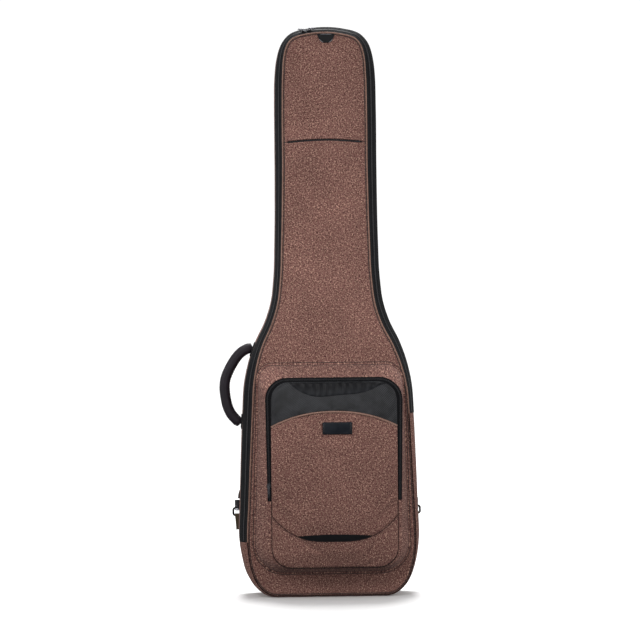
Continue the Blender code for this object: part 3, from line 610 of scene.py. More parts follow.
def plush(name, dark, light):
    """Short brushed lining."""
    n = Nodes(name)
    cloth = n.cloth()
    nap = n.noise(n.scaled(cloth, (900, 700, 1)), 1.0, 3.0, 0.7)
    broad = n.noise(cloth, 18.0, 3.0, 0.6)
    share = n.math("ADD", n.math("MULTIPLY", nap, 0.6), n.math("MULTIPLY", broad, 0.4))
    bump = n.bump(nap, 0.5, 0.0006)
    return n.done(
        n.mix(n.range(share, 0.3, 0.7), dark, light), 0.95, bump, Sheen_Weight=0.35,
        Sheen_Roughness=0.4
    )


def moulded(name, colour, rough=0.45, grain=900.0, strength=0.15, **sockets):
    """Moulded plastic or rubber with a fine grain."""
    n = Nodes(name)
    place = n.add("TexCoord").outputs["Object"]
    fine = n.noise(place, grain, 2.0)
    broad = n.noise(place, 45.0, 3.0, 0.6)
    lighter = tuple(c * 1.5 + 0.004 for c in colour)
    shade = n.mix(n.range(broad, 0.35, 0.7), colour, lighter)
    return n.done(
        shade, n.range(broad, 0.3, 0.7, rough - 0.06, rough + 0.08), n.bump(fine, strength, 0.0003),
        **sockets
    )


def metal(name, colour, rough=0.3, worn=None):
    """Plated metal, a little worn."""
    n = Nodes(name)
    place = n.add("TexCoord").outputs["Object"]
    brushed = n.noise(n.scaled(place, (900, 300, 2500)), 1.0, 2.0)
    spots = n.noise(place, 260.0, 4.0, 0.7)
    shade = n.mix(
        n.range(spots, 0.55, 0.75), colour, worn or tuple(min(1.0, c * 1.6) for c in colour)
    )
    rough_map = n.range(brushed, 0.3, 0.7, rough - 0.06, rough + 0.1)
    return n.done(shade, rough_map, n.bump(brushed, 0.08, 0.0002), Metallic=1.0)


BROWN = melange(
    "melange", (0.034, 0.014, 0.014), (0.180, 0.083, 0.071), (0.53, 0.32, 0.24), speckle=1.12
)
BROWN_PIPING = melange(
    "piping", (0.12, 0.062, 0.050), (0.30, 0.175, 0.135), (0.55, 0.38, 0.30), pitch=0.0008,
    speckle=0.7
)
TAPE = ribbed("zip_tape", (0.004, 0.004, 0.005), (0.017, 0.017, 0.020), pitch=0.0011, spec=0.08)
WEBBING = ribbed("webbing", (0.007, 0.007, 0.008), (0.028, 0.028, 0.031), pitch=0.0022)
OLIVE = ribbed("tab_webbing", (0.050, 0.036, 0.022), (0.16, 0.125, 0.080), pitch=0.0020)
# The twill's lighter colour is partly painted highlight on its ribs.
TWILL = twill("black_twill", (0.004, 0.004, 0.005), (0.052, 0.054, 0.061))
# Painted shade for the hollow under the pocket's zip, with painted highlights on its folds.
PAINTED_SHADE_SATIN = painted_shade_satin(
    "black_satin_painted_shade", (0.001, 0.001, 0.002), (0.009, 0.009, 0.011), (0.018, 0.019, 0.022)
)
AIR_MESH = mesh_cloth("air_mesh", (0.004, 0.004, 0.005), (0.036, 0.036, 0.040))
LINING = plush("lining", (0.060, 0.060, 0.066), (0.150, 0.150, 0.162))
NYLON = ribbed("nylon", (0.003, 0.003, 0.004), (0.012, 0.012, 0.014), pitch=0.0008, gloss=0.5)
DARK_PIPING = melange(
    "dark_piping", (0.008, 0.004, 0.004), (0.022, 0.011, 0.010), (0.055, 0.030, 0.026), pitch=0.0008
)
PLUSH = plush("plush_black", (0.016, 0.016, 0.018), (0.050, 0.050, 0.056))
THREAD_DARK = moulded("thread_dark", (0.020, 0.011, 0.010), 0.7)
THREAD_BROWN = moulded("thread_brown", (0.085, 0.046, 0.038), 0.75)
THREAD_BLACK = moulded("thread_black", (0.010, 0.010, 0.011), 0.6)
TEETH = moulded("zip_teeth", (0.018, 0.018, 0.020), 0.40, Specular_IOR_Level=0.3)
GRIP = moulded(
    "handle_grip", (0.010, 0.007, 0.011), 0.6, grain=1500.0, strength=0.45, Specular_IOR_Level=0.25
)
BUCKLE = moulded("buckle", (0.012, 0.012, 0.013), 0.38)
PATCH = moulded(
    "label", (0.006, 0.008, 0.012), 0.5, grain=1800.0, strength=0.3, Specular_IOR_Level=0.12
)
DARK_METAL = metal("dark_metal", (0.045, 0.045, 0.050), 0.28, (0.20, 0.20, 0.21))
DULL_METAL = metal("dull_metal", (0.24, 0.24, 0.26), 0.38, (0.12, 0.12, 0.13))
RING_METAL = metal("ring_metal", (0.020, 0.020, 0.022), 0.5, (0.06, 0.06, 0.065))


# Cloth that settles


def settled(rows, held, pressure=1.0, slack=0.01, cap=0.006, weight=0.0, stiffness=15.0, frames=20):
    """The grid of cloth with this much slack, pushed out along its normals, while its held points stay."""
    mesh = grid_mesh(rows)
    cloth = bpy.data.objects.new("cloth", mesh)
    scene = bpy.context.scene
    scene.collection.objects.link(cloth)
    pins = cloth.vertex_groups.new(name="held")
    pins.add([int(i) for i in np.flatnonzero(np.asarray(held).ravel())], 1.0, "REPLACE")
    modifier = cloth.modifiers.new("cloth", "CLOTH")
    settings = modifier.settings
    settings.vertex_group_mass = "held"
    settings.quality = 6
    settings.mass = 0.2
    settings.tension_stiffness = settings.compression_stiffness = stiffness
    settings.bending_stiffness = 0.6
    settings.use_pressure = True
    settings.uniform_pressure_force = pressure
    settings.shrink_min = -slack
    settings.effector_weights.gravity = weight
    modifier.point_cache.frame_start = 1
    modifier.point_cache.frame_end = frames
    for moment in range(1, frames + 1):
        scene.frame_set(moment)
    graph = bpy.context.evaluated_depsgraph_get()
    result = cloth.evaluated_get(graph).data
    points = np.empty(len(result.vertices) * 3, np.float32)
    result.vertices.foreach_get("co", points)
    moved = points.reshape(rows.shape).astype(float) - rows
    bpy.data.objects.remove(cloth)
    bpy.data.meshes.remove(mesh)
    scene.frame_set(1)
    far = np.linalg.norm(moved, axis=2, keepdims=True) + 1e-12
    return rows + moved * (cap * np.tanh(far / cap) / far)


def edges_of(rows, *sides):
    """Which points of a grid are on these of its edges."""
    held = np.zeros(rows.shape[:2], bool)
    for side in sides:
        held[{"low": np.s_[0], "high": np.s_[-1], "left": np.s_[:, 0], "right": np.s_[:, -1]}[side]] = True
    return held


def finer(rows, times):
    """The grid with this many stretches for each of its own, on smooth curves."""
    for axis in (0, 1):
        rows = np.swapaxes(rows, 0, axis)
        count = len(rows)
        before = np.concatenate([2 * rows[:1] - rows[1:2], rows[:-1]])
        after = np.concatenate([rows[1:], 2 * rows[-1:] - rows[-2:-1]])
        slope = (after - before) / 2
        out = [rows[:1]]
        t = (np.arange(1, times + 1) / times).reshape(-1, 1, 1)
        for i in range(count - 1):
            out.append(
                rows[i] * (1 - 3 * t**2 + 2 * t**3)
                + slope[i] * (t - 2 * t**2 + t**3)
                + rows[i + 1] * (3 * t**2 - 2 * t**3)
                + slope[i + 1] * (t**3 - t**2)
            )
        rows = np.swapaxes(np.concatenate(out), 0, axis)
    return rows


def unruled(rows, scale, size, seed=0.0):
    """Small soft unevenness in y, fading out at the grid's edges."""
    m, n = rows.shape[:2]
    fade = ease(np.minimum(np.arange(m), np.arange(m)[::-1]) / 4)[:, None] * ease(
        np.minimum(np.arange(n), np.arange(n)[::-1]) / 4
    )
    moved = rows.copy()
    moved[..., 1] += wander(rows.reshape(-1, 3), scale, seed).reshape(m, n) * fade * size
    return moved


# Side wall and the zip band


def strip_rows(distances, section):
    """Rows of points across a strip that runs round the bag. section(z) gives its (inset, y) pairs."""
    z = np.interp(np.asarray(distances) % LOOP_AT[-1], LOOP_AT, LOOP[:, 1])
    return np.stack([on_loop(distances, inset, y) for inset, y in section(z)], axis=1)


def line_on_loop(distances, inset_y):
    """A line round the bag. inset_y(z) gives its (inset, y)."""
    z = np.interp(np.asarray(distances) % LOOP_AT[-1], LOOP_AT, LOOP[:, 1])
    return on_loop(distances, *inset_y(z))


ALL_ROUND = np.arange(0, LOOP_AT[-1] - STEP / 2, STEP)
ZIP_CORNERS = cad_points("zip_tape_rear")
ZIP_RIGHT_Z = ZIP_CORNERS[ZIP_CORNERS[:, 0] > 0][:, 2].min()
ZIP_LEFT_Z = ZIP_CORNERS[ZIP_CORNERS[:, 0] < 0][:, 2].min()
ZIP_START = np.interp(ZIP_RIGHT_Z, OUTLINE[: MIDDLE + 1, 1], LOOP_AT[: MIDDLE + 1])
LEFT_SIDE = slice(MIDDLE, len(OUTLINE))
ZIP_END = np.interp(ZIP_LEFT_Z, OUTLINE[LEFT_SIDE][::-1, 1], LOOP_AT[LEFT_SIDE][::-1])
ZIP_ROUND = np.linspace(ZIP_START, ZIP_END, round((ZIP_END - ZIP_START) / STEP))
SEWN_LENGTH = LOOP_AT[-1] - (ZIP_END - ZIP_START)
SEWN_ROUND = ZIP_END + np.linspace(-0.0004, SEWN_LENGTH + 0.0004, round(SEWN_LENGTH / STEP))


def wall_bulge(z):
    """How far the padded side wall stands out. The base is flat."""
    return 0.0012 * ease(z / 0.03)


def wall_section(z):
    front = front_y(z)
    deep = 0.0092
    pairs = [
        (deep, front + 0.0004), (0.0050, front - 0.0004), (0.0018, front + 0.0001),
        (0.0004, front + 0.0016)
    ]
    for share in np.linspace(0.05, 0.95, 11):
        out = wall_bulge(z) * np.sin(np.pi * share) ** 0.7
        pairs.append((-out, front + (BACK_Y - front) * share))
    pairs += [
        (0.0004, BACK_Y - 0.0010), (0.0020, BACK_Y + 0.0006), (deep, BACK_Y + 0.0004),
        (deep, BACK_Y - 0.02)
    ]
    pairs += [(deep, front + 0.02)]
    return pairs


def make_wall():
    """The padded side wall, all the way round, with a row of stitches near each edge."""
    rows = strip_rows(ALL_ROUND, wall_section)
    z = rows[..., 2]
    soft = wander(rows.reshape(-1, 3), 0.06, 5.3).reshape(z.shape) * 0.0011
    soft += wander(rows.reshape(-1, 3), 0.02, 9.1).reshape(z.shape) * 0.0003
    share = (rows[..., 1] - front_y(z)) / (BACK_Y - front_y(z))
    soft *= np.clip(4 * share * (1 - share), 0, 1) * ease(z / 0.03)
    columns = np.arange(rows.shape[1])
    soft[:, (columns < 4) | (columns > 14)] = 0
    inward = np.stack([np.interp(ALL_ROUND, LOOP_AT, LOOP_IN[:, k]) for k in (0, 1)], axis=1)
    rows[..., 0] += soft * inward[:, :1]
    rows[..., 2] += soft * inward[:, 1:]
    wall = surface(
        "side_wall", rows, BROWN, "bag", "melange_fabric", ("side_gusset",), wrap_rows=True,
        wrap_columns=True
    )
    lines = []
    for share in (0.075, 0.925):
        at = np.linspace(0, LOOP_AT[-1], round(LOOP_AT[-1] / 0.004))

        def place(z, share=share):
            front = front_y(z)
            return -wall_bulge(z) * np.sin(np.pi * share) ** 0.7 + 0.0003, front + (BACK_Y - front) * share

        lines.append(line_on_loop(at, place))
    inward = on_loop(at, 0.01, 0.0) - on_loop(at, 0.0, 0.0)
    units = []
    for line in lines:
        units += stitch_units(line, -inward / 0.01)
    many("wall_stitches", units, THREAD_BROWN, "bag", sharp=80)


def band_section(low, high, puff=0.0, thick=0.0014, count=7):
    """The cross-section of a strip on the band from t = low to high, as a closed loop of (inset, y)."""

    def section(z):
        ts = np.linspace(low, high, count)
        outer = [
            band(z, t, 0.0003 + puff * np.sin(np.pi * (t - low) / (high - low)) ** 0.6) for t in ts
        ]
        return outer + [band(z, high, -thick), band(z, low, -thick)]

    return section


def wrapped(section):
    """The section carried on round the front edge of the side wall."""

    def longer(z):
        front, out = front_y(z), wall_bulge(z)
        outer = [
            (-0.9 * out - 0.0005, front + 0.0110), (-0.7 * out - 0.0007, front + 0.0055),
            (-0.0009, front + 0.0008)
        ]
        inner = [(x + 0.0012, y) for x, y in outer[::-1]]
        return outer + section(z) + inner

    return longer


TOOTH_PITCH = 0.0032


def band_teeth(low, high, shift):
    """Zip teeth as small tapered blocks across the band from t = low to high."""
    at = np.arange(ZIP_START + 0.004 + shift, ZIP_END - 0.004, TOOTH_PITCH)
    low_end = line_on_loop(at, lambda z: band(z, low, 0.0004))
    high_end = line_on_loop(at, lambda z: band(z, high, 0.0004))
    way = directions(line_on_loop(at, lambda z: band(z, 0.5, 0.0)))
    units = []
    for a, b, d in zip(low_end, high_end, way):
        across = (b - a) / 2
        up = np.cross(across, d)
        up *= 0.0009 / np.linalg.norm(up)
        units.append(box_unit((a + b) / 2, d * 0.0012, across, up if up[1] < 0 else -up, 0.72))
    return units


def make_zip_band():
    """The sloping band between the wall and the front: tapes, teeth and the sewn strip below them."""
    pairs = (
        ("zip_tape_bag", 0.05, 0.475, "bag", "zip_tape_rear"),
        ("zip_tape_lid", 0.525, 0.93, "lid", "zip_tape_front"),
    )
    for name, low, high, body, node in pairs:
        section = band_section(low, high, 0.0003)
        rows = strip_rows(ZIP_ROUND, wrapped(section) if body == "bag" else section)
        surface(name, rows, TAPE, body, "zip_tape", (node,), wrap_columns=True, caps=True)
    for name, low, high, shift, body, node in (
        ("zip_teeth_bag", 0.430, 0.530, 0.0, "bag", "zip_teeth_rear"),
        ("zip_teeth_lid", 0.470, 0.570, TOOTH_PITCH / 2, "lid", "zip_teeth_front"),
    ):
        many(name, band_teeth(low, high, shift), TEETH, body, (node,), sharp=30)
    for name, t, body in (("zip_cord_bag", 0.425, "bag"), ("zip_cord_lid", 0.575, "lid")):
        line = line_on_loop(ZIP_ROUND, lambda z, t=t: band(z, t, 0.0004))
        tube(name, line, 0.0007, 6, TAPE, body, "zip_tape")
    rows = strip_rows(SEWN_ROUND, band_section(0.05, 0.93, 0.0014, 0.0016, 9))
    rows[..., 2] = np.maximum(rows[..., 2], 0.0003)
    surface(
        "sewn_strip", rows, BROWN, "lid", "melange_fabric", ("sewn_gusset",), wrap_columns=True,
        caps=True
    )
    for body, low in (("bag", 0.16), ("lid", 0.83)):
        line = line_on_loop(ZIP_ROUND, lambda z, low=low: band(z, low, 0.0005))
        stitches(
            "tape_stitches_" + body, [line], (0, -1, 0), THREAD_BLACK, body, "zip_tape",
            radius=0.00035
        )


# Front cover


SLOT_LOW, SLOT_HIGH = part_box("head_pocket_zip")
SLOT_HALF = (SLOT_HIGH.x - SLOT_LOW.x) / 2
SLOT_RISE = 0.005
HANG_TAB_LOW_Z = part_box("hang_tab")[0].z
SLOT_HEIGHT = 0.0019
SEAM_IN = 0.0019


def slot_z(x):
    """The middle of the head pocket's slot and of the seam that carries on from its ends."""
    return SLOT_LOW.z + 0.0026 + SLOT_RISE * (1 - (np.abs(x) / SLOT_HALF) ** 1.6)


def inside_outline(inset, columns, step, extra=(), base=0.0):
    """Rows of points over the bag's outline moved in, and their distances from its edge. y is 0."""
    right = OUTLINE[: MIDDLE + 1]
    edge = right + INWARD[: MIDDLE + 1] * np.reshape(inset(right[:, 1]) + base, (-1, 1))
    at = lengths(edge)
    spots = np.linspace(0, at[-1], round(at[-1] / step) + 1)[:-1]
    heights = np.concatenate([np.interp(spots, at, edge[:, 1]), extra])
    heights = np.unique(heights.round(6))
    xs = np.interp(heights, edge[:, 1], edge[:, 0])
    t = np.sin(np.linspace(-1, 1, columns) * np.pi / 2)
    x = xs[:, None] * t
    z = np.repeat(heights[:, None], columns, axis=1)
    z[-1] += (edge[:, 1].max() - heights[-1]) * (1 - t**2)
    both = np.concatenate([edge, edge[::-1] * (-1, 1)])
    foot = np.stack([np.linspace(-edge[0][0], edge[0][0], 60), np.full(60, edge[0][1])], axis=1)
    rim = evenly(np.concatenate([both, foot]), 0.002)
    flat = np.stack([x.ravel(), z.ravel()], axis=1)
    away = np.array([np.sqrt(((rim - p) ** 2).sum(axis=1).min()) for p in flat])
    return np.stack([x, 0 * x, z], axis=2), away.reshape(x.shape)


def dent(d, at, width, depth):
    """A groove of this width and depth at distance `at`."""
    return depth * np.exp(-(((d - at) / width) ** 2))


def cover_inset(z):
    """How far the cover's edge sits inside the bag's outline."""
    return table(BAND_INSETS, z) + PANEL_GAP - 0.0010


def cover_relief(x, z, d):
    """What the seams, the head slot and the folds add to the cover's face, inwards positive."""
    y = dent(d, SEAM_IN, 0.0009, 0.0012) - dent(d, 0.0058, 0.0026, 0.0009)
    gap = np.abs(z - slot_z(x)) / SLOT_HEIGHT
    inside = ease((SLOT_HALF - np.abs(x)) / 0.003)
    y += inside * (0.0046 * ease(1.6 - gap) - 0.0010 * np.exp(-((gap - 2.4) ** 2) / 0.9))
    y += (1 - inside) * 0.0016 * np.exp(-((gap / 1.1) ** 2))
    fold = np.exp(
        -(((np.abs(x) - SLOT_HALF) / 0.009) ** 2) - ((z - slot_z(x) + 0.006) / 0.005) ** 2
    )
    crease = np.exp(-(((x - 0.004) / 0.0035) ** 2)) * ease((z - 0.485) / 0.03) * ease((0.60 - z) / 0.03)
    return y - 0.0016 * fold + 0.0007 * crease


def cover_freedom(z):
    """How free the front cover is to billow: not behind the pocket, by the slot or at the tab."""
    beside_slot = ease((np.abs(z - SLOT_LOW.z - 0.003) - 0.012) / 0.035)
    return beside_slot * ease((z - 0.520) / 0.045) * ease((HANG_TAB_LOW_Z - 0.004 - z) / 0.035)


def make_cover():
    """The front cover as cloth that billows a little over its padding, with its beads and seam."""
    coarse, d = inside_outline(cover_inset, 37, 0.011)
    coarse[..., 1] = panel_y(coarse[..., 0], coarse[..., 2])
    held = edges_of(coarse, "low", "high", "left", "right") | (d < 0.003)
    billow = settled(unruled(coarse, 0.08, 0.0012, 2.0), held, 1.2, 0.006, 0.003) - coarse
    extra = np.arange(SLOT_LOW.z - 0.010, SLOT_HIGH.z + 0.010, 0.0009)
    rows, d = inside_outline(cover_inset, 91, 0.006, extra)
    x, z = rows[..., 0], rows[..., 2]
    across = np.linspace(0, 36, 91)
    at_rows = np.interp(z[:, 45], coarse[:, 18, 2], np.arange(len(coarse)))
    lift = np.array([np.interp(across, np.arange(37), row) for row in billow[..., 1]])
    lift = np.array([np.interp(at_rows, np.arange(len(coarse)), column) for column in lift.T]).T
    for _ in range(3):
        lift[1:-1] = (lift[:-2] + 2 * lift[1:-1] + lift[2:]) / 4
        lift[:, 1:-1] = (lift[:, :-2] + 2 * lift[:, 1:-1] + lift[:, 2:]) / 4
    lift *= cover_freedom(z)
    fine = wander(rows.reshape(-1, 3), 0.030, 7.7).reshape(x.shape) * 0.0004
    rows[..., 1] = panel_y(x, z) + lift * ease(d / 0.012) + fine * ease(d / 0.03) + cover_relief(x, z, d)
    cover = surface("front_cover", rows, BROWN, "lid", "melange_fabric", ("front_panel",), 0.004)
    for name, spots, radius, material in (
        ("front_bead", ZIP_ROUND, 0.0013, BROWN_PIPING),
        ("front_bead_low", SEWN_ROUND, 0.0012, DARK_PIPING),
    ):
        line = line_on_loop(spots, lambda z: band(z, 1.0, 0.0))
        line[:, 2] = np.maximum(line[:, 2], radius)
        tube(name, line, radius, 8, material, "lid", "piping", ("front_piping",))
    at = np.arange(0, LOOP_AT[-1], 0.004)
    seam = line_on_loop(np.append(at, 0), lambda z: (cover_inset(z) + SEAM_IN, 0.0))
    seam[:, 1] = panel_y(seam[:, 0], seam[:, 2]) + 0.0002
    tube("cover_seam", seam[:-1], 0.0009, 6, THREAD_DARK, "lid", "piping", closed=True)


# Accessory pocket


POCKET_FRONT_Y = -0.131
POCKET_BASE = dict(
    half_top=0.158, half_bottom=0.168, low=0.057, high=0.510, r_top=0.036, r_bottom=0.062
)
POCKET_FACE = dict(
    half_top=0.150, half_bottom=0.145, low=0.066, high=0.4845, r_top=0.050, r_bottom=0.044
)
POCKET_ZIP_END_Z = 0.2130
POCKET_ZIP_WIDTH = 0.0100
SEAM_HALF = 0.1376
FLAP_HALF = 0.1372
FLAP_CROWN = 0.011
MOUTH_HALF = 0.0845


def rounded(half_top, half_bottom, low, high, r_top, r_bottom, shift=0.0):
    """A rounded outline, wider at one end, as (x, z) from the middle of its lower edge."""
    turn = np.linspace(0, np.pi / 2, 19)
    foot = np.stack([np.linspace(0, half_bottom - r_bottom, 19)[:-1], np.full(18, low)], axis=1)
    corner = np.stack([np.sin(turn), 1 - np.cos(turn)], axis=1) * r_bottom + (half_bottom - r_bottom, low)
    below = np.linspace(low + r_bottom, POCKET_ZIP_END_Z - 0.0006, 16)[1:]
    levels = np.concatenate([below, np.linspace(POCKET_ZIP_END_Z, high - r_top, 41)[:-1]])
    share = (levels - low - r_bottom) / (high - r_top - low - r_bottom)
    side = np.stack([half_bottom + (half_top - half_bottom) * share, levels], axis=1)
    shoulder = np.stack([np.cos(turn) - 1, np.sin(turn) - 1], axis=1) * r_top + (half_top, high)
    top = np.stack([np.linspace(half_top - r_top, 0, 19)[1:-1], np.full(17, high)], axis=1)
    right = np.concatenate([foot, corner, side, shoulder, top])
    left = right[::-1][:-1] * (-1, 1)
    middle = [[0.0, high]]
    return np.concatenate([right, middle, left]) + (shift, 0)


def moved_in(outline, distance):
    """The closed outline moved inwards."""
    way = directions(outline, closed=True)
    return outline + np.stack([-way[:, 1], way[:, 0]], axis=1) * distance


BASE = rounded(**POCKET_BASE)
FACE = rounded(**POCKET_FACE, shift=POCKET_LEAN)
SEAM = rounded(
    SEAM_HALF, SEAM_HALF, POCKET_FACE["low"], POCKET_FACE["high"], 0.040, 0.044, POCKET_LEAN
)
BELOW_ZIP = (FACE[:, 1] < POCKET_ZIP_END_Z - 1e-6)[:, None]
ZIP_FIRST = int(np.flatnonzero(FACE[:, 1] > POCKET_ZIP_END_Z - 1e-6)[0])
ZIP_LAST = len(FACE) - 1 - int(np.flatnonzero(FACE[::-1, 1] > POCKET_ZIP_END_Z - 1e-6)[0])


def on_cover(flat, out=0.0):
    """Points of the front cover's face under these (x, z), moved out of it."""
    return np.stack([flat[:, 0], panel_y(flat[:, 0], flat[:, 1]) - out, flat[:, 1]], axis=1)


def face_y(x, z):
    """The outer face of the pocket's flap and of the wall below it."""
    across = 1 - np.minimum(np.abs(x - POCKET_LEAN) / 0.150, 1.0) ** 2.5
    ends = ease((z - 0.066) / 0.10) * ease((0.486 - z) / 0.09)
    return POCKET_FRONT_Y - 0.0045 - FLAP_CROWN * across * ends


def arch(x):
    """The height of the curved seam across the flap."""
    return 0.407 - 0.033 * (np.abs(x - POCKET_LEAN) / FLAP_HALF) ** 2.2


def lower_arc(x):
    """The height of the pouch's mouth."""
    return 0.1243 + 0.056 * (np.abs(x - POCKET_LEAN) / SEAM_HALF) ** 3.2


def make_pocket_wall():
    """The pocket's padded side wall, its seams on the cover, and its lining."""
    sections = [
        on_cover(moved_in(BASE, -0.0055), 0.0004), on_cover(moved_in(BASE, -0.0040), 0.0016)
    ]
    sections += [on_cover(moved_in(BASE, -0.0012), 0.0018)]
    foot = on_cover(BASE, 0.0030)
    top = np.stack([FACE[:, 0], np.full(len(FACE), POCKET_FRONT_Y + 0.0004), FACE[:, 1]], axis=1)
    lean = foot - top
    lean[:, 1] = 0
    for share in np.linspace(0.0, 1.0, 17):
        bulge = 0.16 * np.sin(np.pi * share) * (1 - 0.3 * share)
        sections.append(foot + (top - foot) * share + lean * bulge * 0.8)
    flat = moved_in(FACE, 0.0018)
    seam = moved_in(SEAM, 0.0012)
    low_y = face_y(SEAM[:, 0], SEAM[:, 1])
    for share in (0.35, 0.75, 1.0):
        spot = flat + (seam - flat) * share * BELOW_ZIP
        up = np.full(len(FACE), POCKET_FRONT_Y - 0.0010 * share)
        up += (low_y + 0.0002 + 0.0010 * share - up) * (1 - (1 - share) ** 2) * BELOW_ZIP[:, 0]
        sections.append(np.stack([spot[:, 0], up, spot[:, 1]], axis=1))
    inner = sections[-1] + (0, 0.0026, 0)
    sections.append(inner)
    inset = moved_in(BASE, 0.0045)
    sections.append((on_cover(inset, 0.004) + inner) / 2)
    sections.append(on_cover(inset, 0.0012))
    rows = np.stack(sections, axis=1)
    spots = rows.reshape(-1, 3)
    soft = wander(spots, 0.045, 1.3) * 0.0018 + wander(spots, 0.018, 4.4) * 0.0006
    soft = soft.reshape(rows.shape[:2])
    columns = np.arange(rows.shape[1])
    soft *= np.where(
        (columns > 3) & (columns < 20), np.sin(np.pi * np.clip((columns - 3) / 17, 0, 1)), 0
    )
    way = directions(FACE, closed=True)
    rows[..., 0] -= soft * way[:, 1:]
    rows[..., 2] += soft * way[:, :1]
    closed = np.concatenate([rows, rows[:, :1]], axis=1)
    uv = cloth_uv(np.concatenate([closed, closed[:1]], axis=0))
    uv[..., 0] *= 0.4
    wall = surface(
        "pocket_wall", rows, BROWN, "lid", "melange_fabric", ("pocket_gusset",), uv=uv,
        wrap_rows=True, wrap_columns=True,
    )
    lines = []
    for name, inset, out in (("outer", -0.0050, 0.0012), ("inner", 0.0004, 0.0040)):
        line = on_cover(moved_in(BASE, inset), out)
        lines.append(np.concatenate([line, line[:1]]))
        tube("pocket_seam_" + name, line, 0.0006, 6, THREAD_DARK, "lid", "piping", closed=True)
    stitches("pocket_wall_stitches", lines, (0, -1, 0), THREAD_DARK, "lid", "piping", radius=0.0009)
    lining = np.stack(
        [
            on_cover(moved_in(BASE, 0.0060), 0.0010),
            (on_cover(moved_in(BASE, 0.0060), 0.004) + inner) / 2 + (inner - top) * 0.4,
            inner + (inner - top) * (0.35, 0, 0.35) + (0, 0.0010, 0),
        ],
        axis=1,
    )
    surface(
        "pocket_lining", finer(lining, 2), NYLON, "lid", "lining", solid=0.0006, wrap_rows=False
    )
    inset = moved_in(BASE, 0.0075)
    count = len(inset) // 2
    left = inset[count + 1 :][::-1]
    right = inset[1 : len(left) + 1]
    shares = np.linspace(0, 1, 25)[None, :, None]
    flat = left[:, None] * (1 - shares) + right[:, None] * shares
    back = np.stack(
        [flat[..., 0], panel_y(flat[..., 0], flat[..., 1]) - 0.0006, flat[..., 1]], axis=2
    )
    surface("pocket_back", back, NYLON, "lid", "lining", solid=0.0)


def zip_line(inset, y):
    """A line along the pocket's zip, this far in from the face's edge."""
    flat = moved_in(FACE, inset)[ZIP_FIRST : ZIP_LAST + 1]
    return np.stack([flat[:, 0], np.full(len(flat), y), flat[:, 1]], axis=1)


def make_pocket_zip():
    """The two halves of the pocket's zip and the bead that carries on below them."""
    top = POCKET_FRONT_Y - 0.0024
    halves = (
        ("pocket_tape_lid", 0.0002, 0.0046, "lid", ("pocket_zip",)),
        ("pocket_tape_flap", 0.0054, 0.0160, "pocket_flap", ()),
    )
    for name, near, far, body, nodes in halves:
        insets = np.linspace(near, far, 6)
        rows = [zip_line(inset, top + 0.0003 * (k in (0, 5))) for k, inset in enumerate(insets)]
        rows += [zip_line(far, top + 0.0013), zip_line(near, top + 0.0013)]
        surface(
            name, np.stack(rows, axis=1), TAPE, body, "zip_tape", nodes, wrap_columns=True,
            caps=True
        )
    for body, near, far, shift in (
        ("lid", 0.0034, 0.0052, 0.0), ("pocket_flap", 0.0048, 0.0066, 0.5)
    ):
        a_line, b_line = zip_line(near, top - 0.0004), zip_line(far, top - 0.0004)
        at = np.arange(0.002 + shift * 0.0026, lengths(a_line)[-1] - 0.002, 0.0026)
        share = at / lengths(a_line)[-1]
        a = along(a_line, share * lengths(a_line)[-1])
        b = along(b_line, share * lengths(b_line)[-1])
        units = []
        for p, q, d in zip(a, b, directions(a)):
            units.append(
                box_unit((p + q) / 2, d * 0.0009, (q - p) / 2, np.array((0, -0.0007, 0)), 0.7)
            )
        many("pocket_teeth_" + body, units, TEETH, body, sharp=30)
    line = np.concatenate([SEAM[ZIP_LAST + 1 :], SEAM[:ZIP_FIRST]])
    path = np.stack([line[:, 0], face_y(line[:, 0], line[:, 1]) + 0.0001, line[:, 1]], axis=1)
    tube("pocket_bead", path, 0.0010, 8, DARK_PIPING, "lid", "piping", ("pocket_piping",))


def low_edge(x):
    """The height of the lower edge of the pocket's face."""
    radius = POCKET_FACE["r_bottom"]
    over = np.maximum(np.abs(x - POCKET_LEAN) - (SEAM_HALF - radius), 0.0)
    return POCKET_FACE["low"] + 0.0012 + radius - np.sqrt(np.maximum(radius**2 - over**2, 0.0))


def flap_top(x):
    """The height of the flap's upper edge."""
    radius = POCKET_FACE["r_top"] - POCKET_ZIP_WIDTH
    over = np.maximum(np.abs(x - POCKET_LEAN) - (FLAP_HALF - radius), 0.0)
    return POCKET_FACE["high"] - POCKET_ZIP_WIDTH - 0.0003 - radius + np.sqrt(
        np.maximum(radius**2 - over**2, 0.0)
    )


def pocket_freedom(x, z):
    """How free the pocket's cloth is to billow: not under the label, nor behind the pouch."""
    low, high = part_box("label_patch")
    away = np.maximum(np.maximum(low.x - x, x - high.x), np.maximum(low.z - z, z - high.z))
    return ease((away - 0.003) / 0.03) * ease((z - lower_arc(x) - 0.010) / 0.04)


